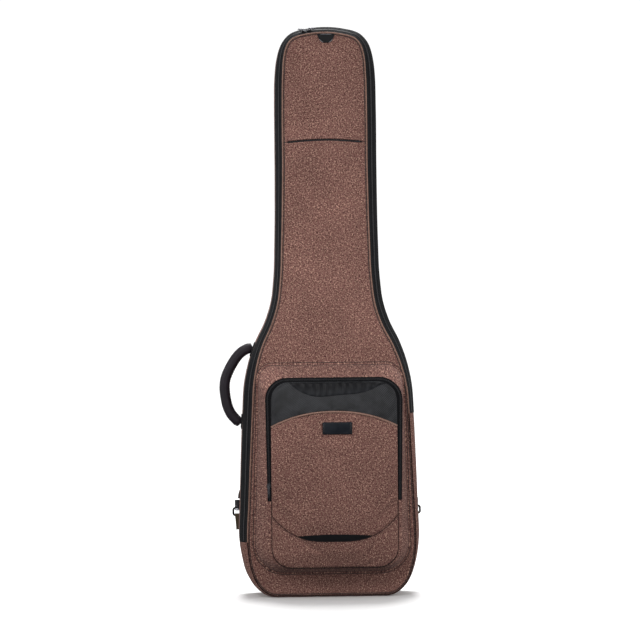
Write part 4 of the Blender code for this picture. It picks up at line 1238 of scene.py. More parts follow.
def make_pocket_front():
    """The pocket's front cloth and the piped seam above it."""
    t = np.linspace(-1, 1, 49)
    t = t + 0.10 * np.sin(np.pi * t)
    rows = []
    for share in np.linspace(0, 1, 61):
        x = POCKET_LEAN + t * SEAM_HALF
        z = low_edge(x) * (1 - share) + (arch(x) - 0.0018) * share
        rows.append(np.stack([x, face_y(x, z), z], axis=1))
    rows = unruled(np.array(rows), 0.060, 0.0036, 6.2)
    rows[..., 1] += dent(
        np.abs(rows[..., 0] - POCKET_LEAN) / 0.2, 0.30, 0.10, 0.0016
    ) * ease((rows[..., 2] - 0.3) / 0.08)
    held = edges_of(rows, "low", "high", "left", "right")
    rows = settled(rows, held, 1.6, 0.020, 0.006, weight=0.15)
    flat = face_y(rows[..., 0], rows[..., 2])
    rows[..., 1] = flat + (rows[..., 1] - flat) * pocket_freedom(rows[..., 0], rows[..., 2])
    rows = unruled(finer(rows, 2), 0.016, 0.0003, 3.3)
    front = surface(
        "pocket_front", rows, BROWN, None, "melange_fabric", ("flap_face", "pocket_lower_wall"),
        0.0030
    )
    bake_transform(front)
    x = POCKET_LEAN + FLAP_HALF * np.linspace(-1, 1, 60)
    line = np.stack([x, face_y(x, arch(x)) + 0.0002, arch(x)], axis=1)
    tube("arch_bead", line, 0.0020, 8, BROWN_PIPING, "pocket_flap", "piping", ("flap_piping",))
    edges = []
    for shift in (-0.0034, 0.0034):
        edges.append(np.stack([x, face_y(x, arch(x) + shift) - 0.0004, arch(x) + shift], axis=1))
    stitches(
        "arch_stitches", edges, (0, -1, 0), THREAD_DARK, "pocket_flap", "piping", radius=0.00045
    )


def pouch_y(x, z):
    """The pouch's face, which stands out most at its mouth."""
    out = 0.0005 + 0.0105 * ease((z - 0.062) / 0.045)
    side = 1 - np.minimum(np.abs(x - POCKET_LEAN) / SEAM_HALF, 1.0) ** 4
    return face_y(x, z) - 0.0010 - out * (0.25 + 0.75 * side)


def make_pouch():
    """The pouch low on the pocket, with its open mouth."""
    t = np.linspace(-1, 1, 49)
    x = POCKET_LEAN + (SEAM_HALF - 0.0006) * (t + 0.10 * np.sin(np.pi * t))
    rows = []
    for share in np.linspace(0, 1, 25):
        z = (low_edge(x) + 0.001) * (1 - share) + lower_arc(x) * share
        rows.append(np.stack([x, pouch_y(x, z), z], axis=1))
    rows = unruled(np.array(rows), 0.05, 0.0014, 8.8)
    held = edges_of(rows, "low", "left", "right")
    held[-1] |= np.abs(x - POCKET_LEAN) > MOUTH_HALF
    rows = settled(rows, held, 0.7, 0.010, 0.0025, weight=0.1)
    rows = finer(rows, 2)
    pouch = surface("pouch_front", rows, BROWN, "lid", "melange_fabric", ("pouch_panel",), 0.0022)
    # The lip is dark piping along the whole arc: partly the edge's own dark colour, partly a painted shadow
    # line for the gap above the pouch's edge.
    lip = rows[-1] + (0, 0.0004, 0.0004)
    tube("pouch_lip", lip, 0.0008, 8, DARK_PIPING, "lid", "piping")
    stitches(
        "pouch_stitches", [rows[-3] - (0, 0.0003, 0)], (0, -1, 0), THREAD_DARK, "lid", "piping",
        radius=0.0004
    )
    t = np.linspace(-1, 1, 41)
    x = POCKET_LEAN + (MOUTH_HALF + 0.002) * t
    rows = []
    for share in np.linspace(0, 1, 9):
        z = (lower_arc(x) - 0.020) * (1 - share) + (0.1390 - 0.0040 * t**2) * share
        rows.append(np.stack([x, face_y(x, z) - 0.0052 + 0.003 * (1 - share), z], axis=1))
    surface("pouch_inside", np.array(rows), NYLON, "lid", "lining", solid=0.0)


def make_window():
    """The twill at the top of the pocket's flap."""
    t = np.linspace(-1, 1, 57)
    x = POCKET_LEAN + FLAP_HALF * (t + 0.10 * np.sin(np.pi * t))
    rows = []
    for share in np.linspace(0, 1, 25):
        z = (arch(x) + 0.0018) * (1 - share) + flap_top(x) * share
        rows.append(np.stack([x, face_y(x, z), z], axis=1))
    rows = np.array(rows)
    u = (rows[..., 0] - POCKET_LEAN - 0.004) / 0.095
    rim = 0.4475 + 0.022 * u**2
    hollow = ease((rows[..., 2] - rim + 0.003) / 0.012) * ease(
        (0.4745 - rows[..., 2]) / 0.010
    ) * ease((1.02 - np.abs(u)) / 0.2)
    rows[..., 1] += hollow * 0.0052
    rows = unruled(rows, 0.03, 0.0008, 5.0)
    rows = settled(rows, edges_of(rows, "low", "high", "left", "right"), 0.4, 0.014, 0.0010)
    rows = finer(rows, 2)
    window = surface(
        "flap_window_cloth", rows, TWILL, "pocket_flap", "black_twill", ("flap_window",), 0.0024
    )
    make_painted_shade_sheet()


def make_painted_shade_sheet():
    """A dark pleated sheet in the upper middle of the window, put in front of its hollow as painted shade.
    """
    rows = []
    u = np.linspace(-1, 1, 97)
    x = POCKET_LEAN + 0.009 + 0.104 * u
    for share in np.linspace(0, 1, 17):
        top = flap_top(x) - 0.0012
        low = 0.4435 + 0.0020 * np.sin(x * 55)
        low = low + (top - low) * np.where(u < 0, np.abs(u) ** 4.5, np.abs(u) ** 2.0)
        z = low * (1 - share) + top * share
        pleats = 0.0011 * np.sin(
            x * 2 * np.pi / 0.0165 + 2.2 * np.sin(x * 37)
        ) * np.sin(np.pi * share) ** 0.5
        body = 0.0020 * (np.sin(np.pi * share) * (1 - u**4)) ** 0.7
        rows.append(np.stack([x, face_y(x, z) - 0.0016 - body - pleats, z], axis=1))
    rows = unruled(np.array(rows), 0.012, 0.0008, 1.9)
    surface("window_shade_sheet", rows, PAINTED_SHADE_SATIN, "pocket_flap", "black_twill", solid=0.0008)


def plate_rows(outline, thick, bevel):
    """Rings of a flat plate with softened edges, over a closed (u, v) outline, with w from 0 to thick."""
    rings = []
    for inset, w in (
        (bevel, 0.0), (bevel * 0.3, bevel * 0.3), (0, bevel), (0, thick - bevel),
        (bevel * 0.3, thick - bevel * 0.3), (bevel, thick)
    ):
        flat = moved_in(outline, inset)
        rings.append(np.concatenate([flat, np.full((len(flat), 1), w)], axis=1))
    return np.stack(rings)


def oval(half_u, half_v, radius, count=6):
    """A rectangle with rounded corners, as a closed outline."""
    turn = np.linspace(0, np.pi / 2, count + 1)
    corner = np.stack([np.sin(turn), -np.cos(turn)], axis=1) * radius
    spots = []
    for quarter, (u, v) in enumerate(((1, -1), (1, 1), (-1, 1), (-1, -1))):
        c, s = math.cos(quarter * math.pi / 2), math.sin(quarter * math.pi / 2)
        spots.append(
            corner @ np.array(((c, s), (-s, c))) + ((half_u - radius) * u, (half_v - radius) * v)
        )
    return np.concatenate(spots)


def placed(points, origin, u, v, w):
    """Points given in a frame of their own, put at origin with these axes."""
    u, v, w = np.asarray(u), np.asarray(v), np.asarray(w)
    return np.asarray(origin) + points[..., :1] * u + points[..., 1:2] * v + points[..., 2:] * w


def plate(name, outline, thick, bevel, origin, axes, material, body, slot, replaces=(), sharp=35):
    """A flat plate with softened edges, as a piece of its own."""
    rows = placed(plate_rows(outline, thick, bevel), origin, *axes)
    return surface(
        name, rows, material, body, slot, replaces, wrap_columns=True, caps=True, sharp=sharp
    )


def rings_unit(rows):
    """A closed shape for many(), from rings that are capped at both ends."""
    m, n = rows.shape[:2]
    faces = [
        (
            i * n + j, i * n + (j + 1) % n, (i + 1) * n + (j + 1) % n, (i + 1) * n + j
        ) for i in range(m - 1) for j in range(n)
    ]
    faces += [tuple(range(n))[::-1], tuple((m - 1) * n + j for j in range(n))]
    return rows.reshape(-1, 3), faces


def make_label():
    """A blank label with a small metal bar at each end."""
    low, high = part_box("label_patch")
    centre = (low + high) / 2
    half_x, half_z = (high.x - low.x) / 2, (high.z - low.z) / 2
    axes = ((1, 0, 0), (0, 0, 1), (0, -1, 0))
    origin = (centre.x, high.y - 0.0006, centre.z)
    plate(
        "label", oval(half_x, half_z, 0.0022), 0.0024, 0.0008, origin, axes, PATCH, "pocket_flap",
        "label", ("label_patch",)
    )
    for name, side in (("label_bar_left", -1), ("label_bar_right", 1)):
        spot = (centre.x + side * (half_x - 0.0028), high.y - 0.0026, centre.z)
        plate(
            name, oval(0.0011, half_z - 0.0012, 0.0008), 0.0012, 0.0004, spot, axes, DARK_METAL,
            "pocket_flap", "dark_metal"
        )
    rim = oval(half_x - 0.0056, half_z - 0.0030, 0.0010)
    line = placed(np.concatenate([rim, np.full((len(rim), 1), 0.0025)], axis=1), origin, *axes)
    stitches(
        "label_stitches", [np.concatenate([line, line[:1]])], (0, -1, 0), THREAD_BLACK,
        "pocket_flap", "label", pitch=0.0026, radius=0.0003,
    )


# Sliders and pulls


def slider_units(length, width, height):
    """A zip slider: two wedge-shaped plates with a post and a bridge for the pull."""
    spade = np.array(
        [
            (-0.5, -0.36), (-0.1, -0.5), (0.35, -0.5), (0.5, -0.30), (0.5, 0.30), (0.35, 0.5),
            (-0.1, 0.5), (-0.5, 0.36)
        ]
    )
    shape = evenly(np.concatenate([spade, spade[:1]]) * (length, width), 0.0009)[:-1]
    lower = rings_unit(plate_rows(shape, height * 0.34, 0.0003))
    upper = plate_rows(shape * 0.94, height * 0.34, 0.0003) + (0, 0, height * 0.36)
    bridge = np.stack(
        [
            np.linspace(-0.34, 0.34, 13) * length,
            np.zeros(13),
            height * (0.66 + 0.42 * np.sin(np.linspace(0, np.pi, 13)) ** 0.6),
        ],
        axis=1,
    )
    strap = tube_rows(bridge, width * 0.13, 8, up=(0, 0, 1), flat=0.5)
    return [lower, rings_unit(upper), rings_unit(strap)]


def pull_units(length, width, thick):
    """A pull: a flat rounded tab with an eye at its near end and a raised grip."""
    tab = oval(length / 2, width / 2, width * 0.42)
    tab = tab * np.stack([np.ones(len(tab)), 0.72 + 0.28 * (tab[:, 0] / length + 0.5)], axis=1)
    body = plate_rows(tab, thick, thick * 0.3)
    grip = plate_rows(oval(length * 0.24, width * 0.26, width * 0.2), thick * 0.4, thick * 0.15)
    grip = grip + (length * 0.14, 0, thick * 0.85)
    eye = np.linspace(0, 2 * np.pi, 17)[:-1]
    ring = np.stack(
        [
            np.cos(eye) * width * 0.26 - length * 0.5 + width * 0.22, np.sin(eye) * width * 0.26,
            0 * eye + thick * 0.5
        ],
        axis=1
    )
    wire = tube_rows(ring, thick * 0.42, 8, up=(0, 0, 1), closed=True)
    wire = np.concatenate([wire, wire[:1]])
    return [rings_unit(body), rings_unit(grip), rings_unit(wire)]


def put(units, origin, u, v, w):
    """Closed shapes for many(), put at origin with these axes."""
    return [(placed(np.asarray(points, float), origin, u, v, w), faces) for points, faces in units]


def middle_of(node):
    low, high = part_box(node)
    return np.array((low + high) / 2)


def make_sliders():
    """The sliders of the three zips, with the pulls that swing on them."""
    for side, way in (("left", -1.0), ("right", 1.0)):
        slider, pull = "main_slider_" + side, "main_pull_" + side
        out = np.array((0.0, -0.475, 0.880))
        u = np.array((way, 0.0, 0.0))
        v = np.cross(out, u)
        units = put(
            slider_units(0.0105, 0.0105, 0.0044), middle_of(slider) - out * 0.0019, u, v, out
        )
        many(
            slider + "_metal", untwisted(units, 0), DARK_METAL, slider, (slider,),
            sharp=35
        )
        units = put(pull_units(0.0150, 0.0056, 0.0016), middle_of(pull) - out * 0.0008, u, v, out)
        many(
            pull + "_metal", untwisted(units, 0), DARK_METAL, pull, (pull,), sharp=35
        )
    down = np.array((0.0, 0.0, -1.0))
    out = np.array((0.0, -1.0, 0.0))
    across = np.cross(out, down)
    units = put(
        slider_units(0.0115, 0.0082, 0.0036), middle_of("pocket_slider") - out * 0.0016, -down,
        -across, out
    )
    many(
        "pocket_slider_metal", untwisted(units, 2), DARK_METAL, "pocket_slider",
        ("pocket_slider",), sharp=35
    )
    units = put(
        pull_units(0.0260, 0.0066, 0.0018), middle_of("pocket_pull") - out * 0.0009, down, across,
        out
    )
    many(
        "pocket_pull_metal", untwisted(units, 2), DARK_METAL, "pocket_pull",
        ("pocket_pull",), sharp=35
    )
    u = np.array((1.0, 0.0, 0.0))
    units = put(
        slider_units(0.0095, 0.0033, 0.0018), middle_of("head_pocket_slider") - out * 0.0004, u,
        np.cross(out, u), out
    )
    many(
        "head_slider_metal", units, DARK_METAL, "head_slider",
        ("head_pocket_slider",), sharp=35
    )


def make_hang_tab():
    """The shield-shaped webbing tab at the top of the cover."""
    low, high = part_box("hang_tab")
    t = np.linspace(-1, 1, 17)
    rows = []
    for z in np.linspace(low.z, high.z, 19):
        half = np.interp(
            (z - low.z) / (high.z - low.z), (0, 0.10, 0.25, 0.5, 0.75, 1),
            (0.0038, 0.0082, 0.0118, 0.0158, 0.0182, 0.0190)
        )
        x = t * half + 0.0045
        up = (z - low.z) / (high.z - low.z)
        puff = 0.0016 * np.sin(np.pi * min(up * 1.3, 1.0)) * (1 - t**4)
        y = panel_y(x, np.full_like(x, z)) - 0.0016 - puff
        rows.append(np.stack([x, y, np.full_like(x, z)], axis=1))
    rows = np.array(rows)
    surface("hang_tab_web", rows, WEBBING, "lid", "webbing", ("hang_tab",), 0.0016)
    for name, column in (("hang_tab_rail_left", 0), ("hang_tab_rail_right", -1)):
        line = rows[1:8, column] - (0, 0.0006, 0)
        tube(name, line, 0.0007, 8, DULL_METAL, "lid", "dark_metal")
    bar = rows[-2, 3:-3] - (0, 0.0006, 0)
    tube("hang_tab_bar", bar, 0.0005, 8, DULL_METAL, "lid", "dark_metal")
    stitches(
        "hang_tab_stitches", [rows[3], rows[-5]], (0, -1, 0), THREAD_BLACK, "lid", "webbing",
        radius=0.0004
    )


def make_head_zip():
    """The zip in the head pocket's slot, and the seams that carry on from its ends."""
    x = np.linspace(-SLOT_HALF * 0.985, SLOT_HALF * 0.985, 60)
    z = slot_z(x)
    y = panel_y(x, z) + 0.0032
    offsets = (
        (-0.0030, 0.0), (-0.0012, -0.0004), (0.0, -0.0002), (0.0012, -0.0004), (0.0030, 0.0),
        (0.0030, 0.0010), (-0.0030, 0.0010)
    )
    rows = np.stack([np.stack([x, y + dy, z + dz], axis=1) for dz, dy in offsets], axis=1)
    surface(
        "head_zip_tape", rows, TAPE, "lid", "zip_tape", ("head_pocket_zip",), wrap_columns=True,
        caps=True
    )
    at = np.arange(-SLOT_HALF + 0.004, SLOT_HALF - 0.004, 0.0024)
    units = []
    for k, spot in enumerate(at):
        centre = np.array(
            (
                spot, panel_y(spot, slot_z(spot)) + 0.0024,
                slot_z(spot) + (0.0004 if k % 2 else -0.0004)
            )
        )
        units.append(
            box_unit(
                centre, np.array((0.0009, 0, 0)), np.array((0, 0, 0.0011)),
                np.array((0, -0.0006, 0)), 0.7
            )
        )
    many("head_zip_teeth", units, TEETH, "lid", sharp=30)
    edge = half_width(SLOT_LOW.z) - cover_inset(SLOT_LOW.z) - SEAM_IN
    for side in (-1, 1):
        reach = side * np.linspace(SLOT_HALF - 0.002, edge, 12)
        seam = np.stack([reach, panel_y(reach, slot_z(reach)) + 0.0006, slot_z(reach)], axis=1)
        tube(
            "head_seam_left" if side < 0 else "head_seam_right", seam, 0.0009, 6, THREAD_DARK,
            "lid", "piping"
        )
    lines = []
    for dz in (0.0075, -0.0075):
        line_z = slot_z(x) + dz
        lines.append(np.stack([x, panel_y(x, line_z) + 0.0002, line_z], axis=1))
    stitches("head_zip_stitches", lines, (0, -1, 0), THREAD_DARK, "lid", "piping", radius=0.0005)


# Side handle


HANDLE_POINTS = (
    (-0.1650, 0.5490),
    (-0.1880, 0.5380),
    (-0.2130, 0.5060),
    (-0.2262, 0.4720),
    (-0.2250, 0.4370),
    (-0.2150, 0.4040),
    (-0.1935, 0.3790),
)
HANDLE_RADIUS = 0.0115


def make_handle():
    """The padded side handle, in two halves."""
    flat = evenly(smooth(HANDLE_POINTS, 8), 0.0016)
    path = np.stack([flat[:, 0], 0 * flat[:, 0], flat[:, 1]], axis=1)
    at = lengths(path)
    ends = ease(np.minimum(at, at[-1] - at) / 0.010)
    radii = HANDLE_RADIUS * (0.74 + 0.26 * ends**0.6)
    sides = 40
    rows = tube_rows(path, radii, sides)
    centre = path[:, None]
    spoke = rows - centre
    inner = np.clip(spoke[..., 0] / np.linalg.norm(spoke, axis=2), 0, 1) ** 2
    ribs = 0.035 * np.sin(at * 2 * np.pi / 0.0062)[:, None] * inner * ends[:, None]
    soft = wander(rows.reshape(-1, 3), 0.02, 2.2).reshape(inner.shape) * 0.02
    seam = -0.05 * np.exp(
        -((np.abs(spoke[..., 1]) / np.linalg.norm(spoke, axis=2) - 1) / 0.012) ** 2
    )
    rows = centre + spoke * (1 + ribs + soft + seam)[..., None]
    half = len(rows) // 2
    for which, part, root, free in (
        ("upper", rows[: half + 1], 0, 14), ("lower", rows[half:], -1, -15)
    ):
        grip = surface(
            "handle_sleeve_" + which, part, GRIP, None, "handle_rubber", ("side_handle_grip",),
            wrap_columns=True, caps=True, sharp=60,
        )
        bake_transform(grip)
    lines = []
    for turn in (0.32, -0.32):
        side = np.stack([np.full(len(path), 0.0), np.cos(turn) + 0 * at, 0 * at], axis=1)
        way = directions(path)
        outward = np.cross(way, (0.0, 1.0, 0.0))
        spot = path + (side + outward * math.sin(turn)) * (radii * 1.0)[:, None]
        lines.append(spot[12:-12])
    stitches(
        "handle_stitches", lines, (0, 1, 0), THREAD_BLACK, "side_handle", "handle_rubber",
        radius=0.0005
    )
    ends = (
        (np.array((-0.1665, 0.0, 0.5435)), path[6], np.array((-0.1720, 0, 0.5420))),
        (np.array((-0.1925, 0.0, 0.3835)), path[-7], np.array((-0.1965, 0, 0.3865))),
    )
    for which, (root, tip, mid) in zip(("upper", "lower"), ends):
        line = smooth([root[[0, 2]], mid[[0, 2]], tip[[0, 2]]], 6)
        line = np.stack([line[:, 0], 0 * line[:, 0], line[:, 1]], axis=1)
        share = np.linspace(0, 1, len(line))
        ring = ribbon_rows(line, (0, 1, 0), 0.0105 - 0.0045 * share, 0.0020 + 0.0038 * share)
        nodes = ("side_handle_webbing",) if which == "upper" else ()
        stub = many("handle_webbing_" + which, [rings_unit(ring)], WEBBING, None, nodes)
        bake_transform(stub)
    for name in ("handle_anchor_upper", "handle_anchor_lower"):
        spot = middle_of(name)
        z = spot[2]
        left = OUTLINE[MIDDLE:][::-1]
        inward = INWARD[MIDDLE:][::-1]
        n = np.array([np.interp(z, left[:, 1], inward[:, k]) for k in (0, 1)])
        n /= np.linalg.norm(n)
        out = np.array((-n[0], 0.0, -n[1]))
        up = np.array((-out[2], 0.0, out[0])) * -1
        across = np.array((0.0, 1.0, 0.0))
        origin = spot - out * 0.0012
        plate(
            name + "_patch", oval(0.0168, 0.0148, 0.003), 0.0026, 0.0009, origin, (up, across, out),
            WEBBING, "bag", "webbing", (name,)
        )
        corners = np.array(
            [(-1, -1), (1, -1), (1, 1), (-1, 1), (-1, -1), (1, 1), (1, -1), (-1, 1)]
        ) * (0.0135, 0.0115)
        line = evenly(corners, 0.001)
        line = placed(
            np.concatenate([line, np.full((len(line), 1), 0.0027)], axis=1), origin, up, across, out
        )
        stitches(
            name + "_stitches", [line], out, THREAD_BLACK, "bag", "webbing", pitch=0.003,
            radius=0.0004
        )


# Back and straps


def ribbon_rows(path, across, half_widths, half_thick, sides=18, square=0.45):
    """Rings of a flat strip along the path, wide along across."""
    way = directions(path)
    across = np.broadcast_to(np.asarray(across, float), path.shape)
    wide = across - way * (across * way).sum(axis=1)[:, None]
    wide /= np.linalg.norm(wide, axis=1)[:, None]
    out = np.cross(wide, way)
    turns = 2 * np.pi * (np.arange(sides) + 0.5) / sides
    a = np.sign(np.cos(turns)) * np.abs(np.cos(turns)) ** square
    b = np.sign(np.sin(turns)) * np.abs(np.sin(turns)) ** square
    half_widths = np.broadcast_to(half_widths, len(path))[:, None, None]
    half_thick = np.broadcast_to(half_thick, len(path))[:, None, None]
    sideways = wide[:, None] * a[None, :, None] * half_widths
    return path[:, None] + sideways + out[:, None] * b[None, :, None] * half_thick


def ribbon(name, path, across, half_widths, half_thick, material, body, slot, replaces=(), **shape):
    """A flat strip along a path, as a piece of its own."""
    rows = ribbon_rows(np.asarray(path, float), across, half_widths, half_thick, **shape)
    return surface(
        name, rows, material, body, slot, replaces, wrap_columns=True, caps=True, sharp=55
    )


BACK_PANEL_Y = 0.0565
BACK_CROWN = 0.005
BACK_SEAMS_Z = (0.30, 0.62, 0.90)
BACK_INSET = 0.0046
BACK_EDGE_SEAM = 0.0105


def back_y(x, z):
    """The outer face of the back panel."""
    across = 1 - np.minimum(np.abs(x) / half_width(z), 1.0) ** 3
    ends = ease(z / 0.08) * ease((1.24 - z) / 0.06)
    return BACK_PANEL_Y + BACK_CROWN * across * ends


def make_back():
    """The padded back with its quilting seams and bead."""
    rows, d = inside_outline(lambda z: 0 * z, 61, 0.009, base=BACK_INSET)
    x, z = rows[..., 0], rows[..., 2]
    soft = wander(rows.reshape(-1, 3), 0.07, 11.0).reshape(x.shape) * 0.0012
    y = back_y(x, z) - 0.0044 * (1 - ease(d / 0.007)) ** 2 - dent(d, BACK_EDGE_SEAM, 0.0018, 0.0012)
    for line in BACK_SEAMS_Z:
        y -= dent(z, line, 0.0022, 0.0016)
    rows[..., 1] = y - np.abs(soft) * ease(d / 0.03)
    rows = rows[:, ::-1]
    back = surface(
        "back_cover", rows, BROWN, "bag", "melange_fabric", ("back_panel", "back_foam"), 0.0040
    )
    at = np.arange(0, LOOP_AT[-1], 0.005)
    bead = on_loop(at, 0.0026, BACK_Y + 0.0028)
    tube("back_bead", bead, 0.0022, 8, DARK_PIPING, "bag", "piping", ("back_piping",), closed=True)
    seam = on_loop(np.append(at, 0), BACK_INSET + BACK_EDGE_SEAM, 0.0)
    seam[:, 1] = back_y(seam[:, 0], seam[:, 2]) - 0.0010
    lines = [seam]
    for line in BACK_SEAMS_Z:
        half = half_width(line) - 0.016
        across = np.linspace(-half, half, 60)
        lines.append(np.stack([across, back_y(across, line) - 0.0012, np.full(60, line)], axis=1))
    stitches("back_stitches", lines, (0, 1, 0), THREAD_DARK, "bag", "piping", radius=0.0005)


STRAP_PAD_POINTS = ((0.038, 0.7960), (0.046, 0.730), (0.062, 0.630), (0.079, 0.530), (0.088, 0.450))
PAD_HALF, PAD_THICK, PAD_Y = 0.031, 0.0058, 0.0704
WEBBING_HALF, WEBBING_Y = 0.0125, 0.0668
WEBBING_POINTS = ((0.088, 0.470), (0.094, 0.400), (0.122, 0.320), (0.165, 0.2500), (0.1905, 0.2080))


def in_back_plane(flat, y):
    """Flat (x, z) points put at this y."""
    return np.stack([flat[:, 0], np.full(len(flat), y), flat[:, 1]], axis=1)


def make_straps():
    """The yoke and the two shoulder straps, down to their hooks."""
    low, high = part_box("strap_yoke")
    t = np.linspace(-1, 1, 25)
    rows = []
    for share in np.linspace(0, 1, 13):
        z = low.z + (high.z - low.z) * share
        half = 0.078 - 0.018 * share
        puff = 0.0012 * np.sin(np.pi * share) ** 0.5 * (1 - t**6)
        rows.append(np.stack([t * half, high.y - 0.0016 + puff, np.full_like(t, z)], axis=1))
    rows = np.array(rows)[:, ::-1]
    surface("yoke_cloth", rows, WEBBING, "bag", "webbing", ("strap_yoke",), 0.0030)
    ring = np.concatenate(
        [rows[1, 1:-1], rows[1:-1, -2], rows[-2, -2:0:-1], rows[-2:0:-1, 1], rows[1, 1:2]]
    )
    stitches(
        "yoke_stitches", [ring + (0, 0.0003, 0), rows[6] + (0, 0.0003, 0)], (0, 1, 0), THREAD_BLACK,
        "bag", "webbing"
    )
    for side, name in ((-1, "left"), (1, "right")):
        body = "strap_" + name
        flat = evenly(smooth(np.array(STRAP_PAD_POINTS) * (side, 1), 10), 0.006)
        at = lengths(flat)
        ends = ease(np.minimum(at, at[-1] - at) / 0.045)
        halves = PAD_HALF * (0.60 + 0.40 * ends)
        path = in_back_plane(flat, PAD_Y)
        thick = PAD_THICK * (0.55 + 0.45 * ends)
        rows = ribbon_rows(path, (1, 0, 0), halves, thick, sides=36, square=0.62)
        rows[..., 1] += wander(
            rows.reshape(-1, 3), 0.05, 3.0 + side
        ).reshape(rows.shape[:2]) * 0.0007
        pad = surface(
            body + "_pad", rows, AIR_MESH, body, "strap_mesh", ("strap_pad_" + name,),
            wrap_columns=True, caps=True, sharp=70
        )
        way = directions(path)
        wide = np.cross((0.0, 1.0, 0.0), way)
        for edge, sign in (("inner", -1), ("outer", 1)):
            line = path + wide * (sign * (halves - 0.0008))[:, None]
            tube(
                body + "_binding_" + edge, line, 0.0036, 10, TAPE, body, "webbing", flat=0.72,
                up=(1, 0, 0)
            )
        share = ends[2:-1, None]
        centre = in_back_plane(flat[2:-1], PAD_Y) + (0, 0.0064, 0) * share + (0, 0.0036, 0) * (1 - share)
        ribbon(
            body + "_pad_webbing", centre, (1, 0, 0), WEBBING_HALF, 0.0008, WEBBING, body, "webbing"
        )
        flat = evenly(smooth(np.array(WEBBING_POINTS) * (side, 1), 8, last=(0, -1)), 0.004)
        flat = flat[flat[:, 1] < 0.452]
        halves = WEBBING_HALF * np.where(flat[:, 1] < 0.225, 0.62, 1.0)
        halves = np.convolve(np.pad(halves, 3, mode="edge"), np.ones(7) / 7, "valid")
        web = ribbon(
            body + "_webbing", in_back_plane(flat, WEBBING_Y), (1, 0, 0), halves, 0.0008, WEBBING,
            body, "webbing", ("strap_webbing_" + name,)
        )
        make_ladder_lock(name, body)
        curl = np.array(hook_line(0.0180, 0.0046, math.radians(150))) + (RING_Y, RING_HIGH_Z)
        line = np.stack([np.full(len(curl), side * RING_X), curl[:, 0], curl[:, 1]], axis=1)
        ribbon(
            body + "_hook", line, (1, 0, 0), 0.0066, 0.0012, DARK_METAL, body, "dark_metal",
            ("strap_hook_" + name,), square=0.6
        )


def make_ladder_lock(name, body):
    """The buckle between a strap's pad and its webbing."""
    low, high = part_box("ladder_lock_" + name)
    centre = np.array((low + high) / 2)
    side = 1.0 if centre[0] > 0 else -1.0
    tilt = math.radians(9) * side
    u = np.array((math.cos(tilt), 0.0, math.sin(tilt)))
    v = np.array((-math.sin(tilt), 0.0, math.cos(tilt)))
    out = np.array((0.0, 1.0, 0.0))
    frame_line = oval(0.0160, 0.0100, 0.0035, 5)
    frame_line = np.concatenate([frame_line, np.zeros((len(frame_line), 1))], axis=1)
    ring = tube_rows(frame_line, 0.0021, 10, up=(0, 0, 1), closed=True, flat=1.2)
    units = [rings_unit(np.concatenate([ring, ring[:1]]))]
    for v_at, lift in ((0.0, 0.0012), (-0.0062, 0.0020)):
        bar = np.stack(
            [np.linspace(-0.0160, 0.0160, 9), np.full(9, v_at), np.full(9, lift)], axis=1
        )
        units.append(rings_unit(tube_rows(bar, 0.0017, 10, up=(0, 0, 1))))
    lip = plate_rows(oval(0.0130, 0.0032, 0.0028), 0.0024, 0.0008) + (0, 0.0118, 0.0006)
    units.append(rings_unit(lip))
    units = put(units, centre, u, v, out)
    many(
        "ladder_lock_frame_" + name, units, BUCKLE, body,
        ("ladder_lock_" + name,), sharp=40
    )


RING_X = 0.1985
RING_Y = 0.0630
RING_LOW_Z = 0.172
RING_HIGH_Z = 0.188
RING_HALF = 0.0100
WIRE = 0.0023


def hook_line(length, radius, turn, steps=14):
    """A line that runs down and curls round, as (y, z) about the centre of its curl."""
    line = [(radius, length * (1 - i / 6)) for i in range(6)]
    line += [
        (
            radius * math.cos(turn * i / steps), -radius * math.sin(turn * i / steps)
        ) for i in range(steps + 1)
    ]
    return line


def make_side_rings():
    """The rings low on the sides, each in a loop of webbing."""
    for side, name in ((-1, "left"), (1, "right")):
        x = side * RING_X
        shape = oval(RING_HALF, (RING_HIGH_Z - RING_LOW_Z) / 2, 0.0042, 6)
        middle = (RING_LOW_Z + RING_HIGH_Z) / 2
        wire = np.stack(
            [x + shape[:, 0], np.full(len(shape), RING_Y), middle + shape[:, 1]], axis=1
        )
        tube(
            "ring_wire_" + name, wire, WIRE, 10, RING_METAL, "bag", "ring_steel",
            ("side_ring_" + name,), closed=True
        )
        curl = np.array(
            hook_line(0.0300, 0.0034, math.radians(300), 22)
        ) * (-1, -1) + (RING_Y, RING_LOW_Z)
        line = np.stack([np.full(len(curl), x), curl[:, 0], curl[:, 1]], axis=1)
        share = np.clip((RING_LOW_Z - line[:, 2]) / 0.030, 0, 1)
        line[:, 0] -= side * 0.007 * share
        ribbon(
            "tab_" + name, line, (1, 0, 0), 0.0068 + 0.0045 * share, 0.0008, OLIVE, "bag",
            "tab_webbing", ("side_tab_" + name,)
        )
        cross = line[4:6].mean(axis=0)
        wide = np.linspace(-0.0075, 0.0075, 12)
        across = np.stack(
            [cross[0] + wide, np.full(12, cross[1] - 0.0009), np.full(12, cross[2])], axis=1
        )
        stitches(
            "tab_stitches_" + name, [across + (0, 0.0018, 0), across + (0, 0.0018, 0.004)],
            (0, 1, 0), THREAD_BLACK, "bag", "tab_webbing"
        )


# Inside


def box_uv(mesh):
    """Cloth coordinates for a blocky mesh, from each face's own direction."""
    layer = mesh.uv_layers.active or mesh.uv_layers.new(name="cloth")
    for polygon in mesh.polygons:
        axis = max(range(3), key=lambda k: abs(polygon.normal[k]))
        keep = [k for k in range(3) if k != axis]
        for loop in polygon.loop_indices:
            point = mesh.vertices[mesh.loops[loop].vertex_index].co
            layer.data[loop].uv = (point[keep[0]], point[keep[1]])


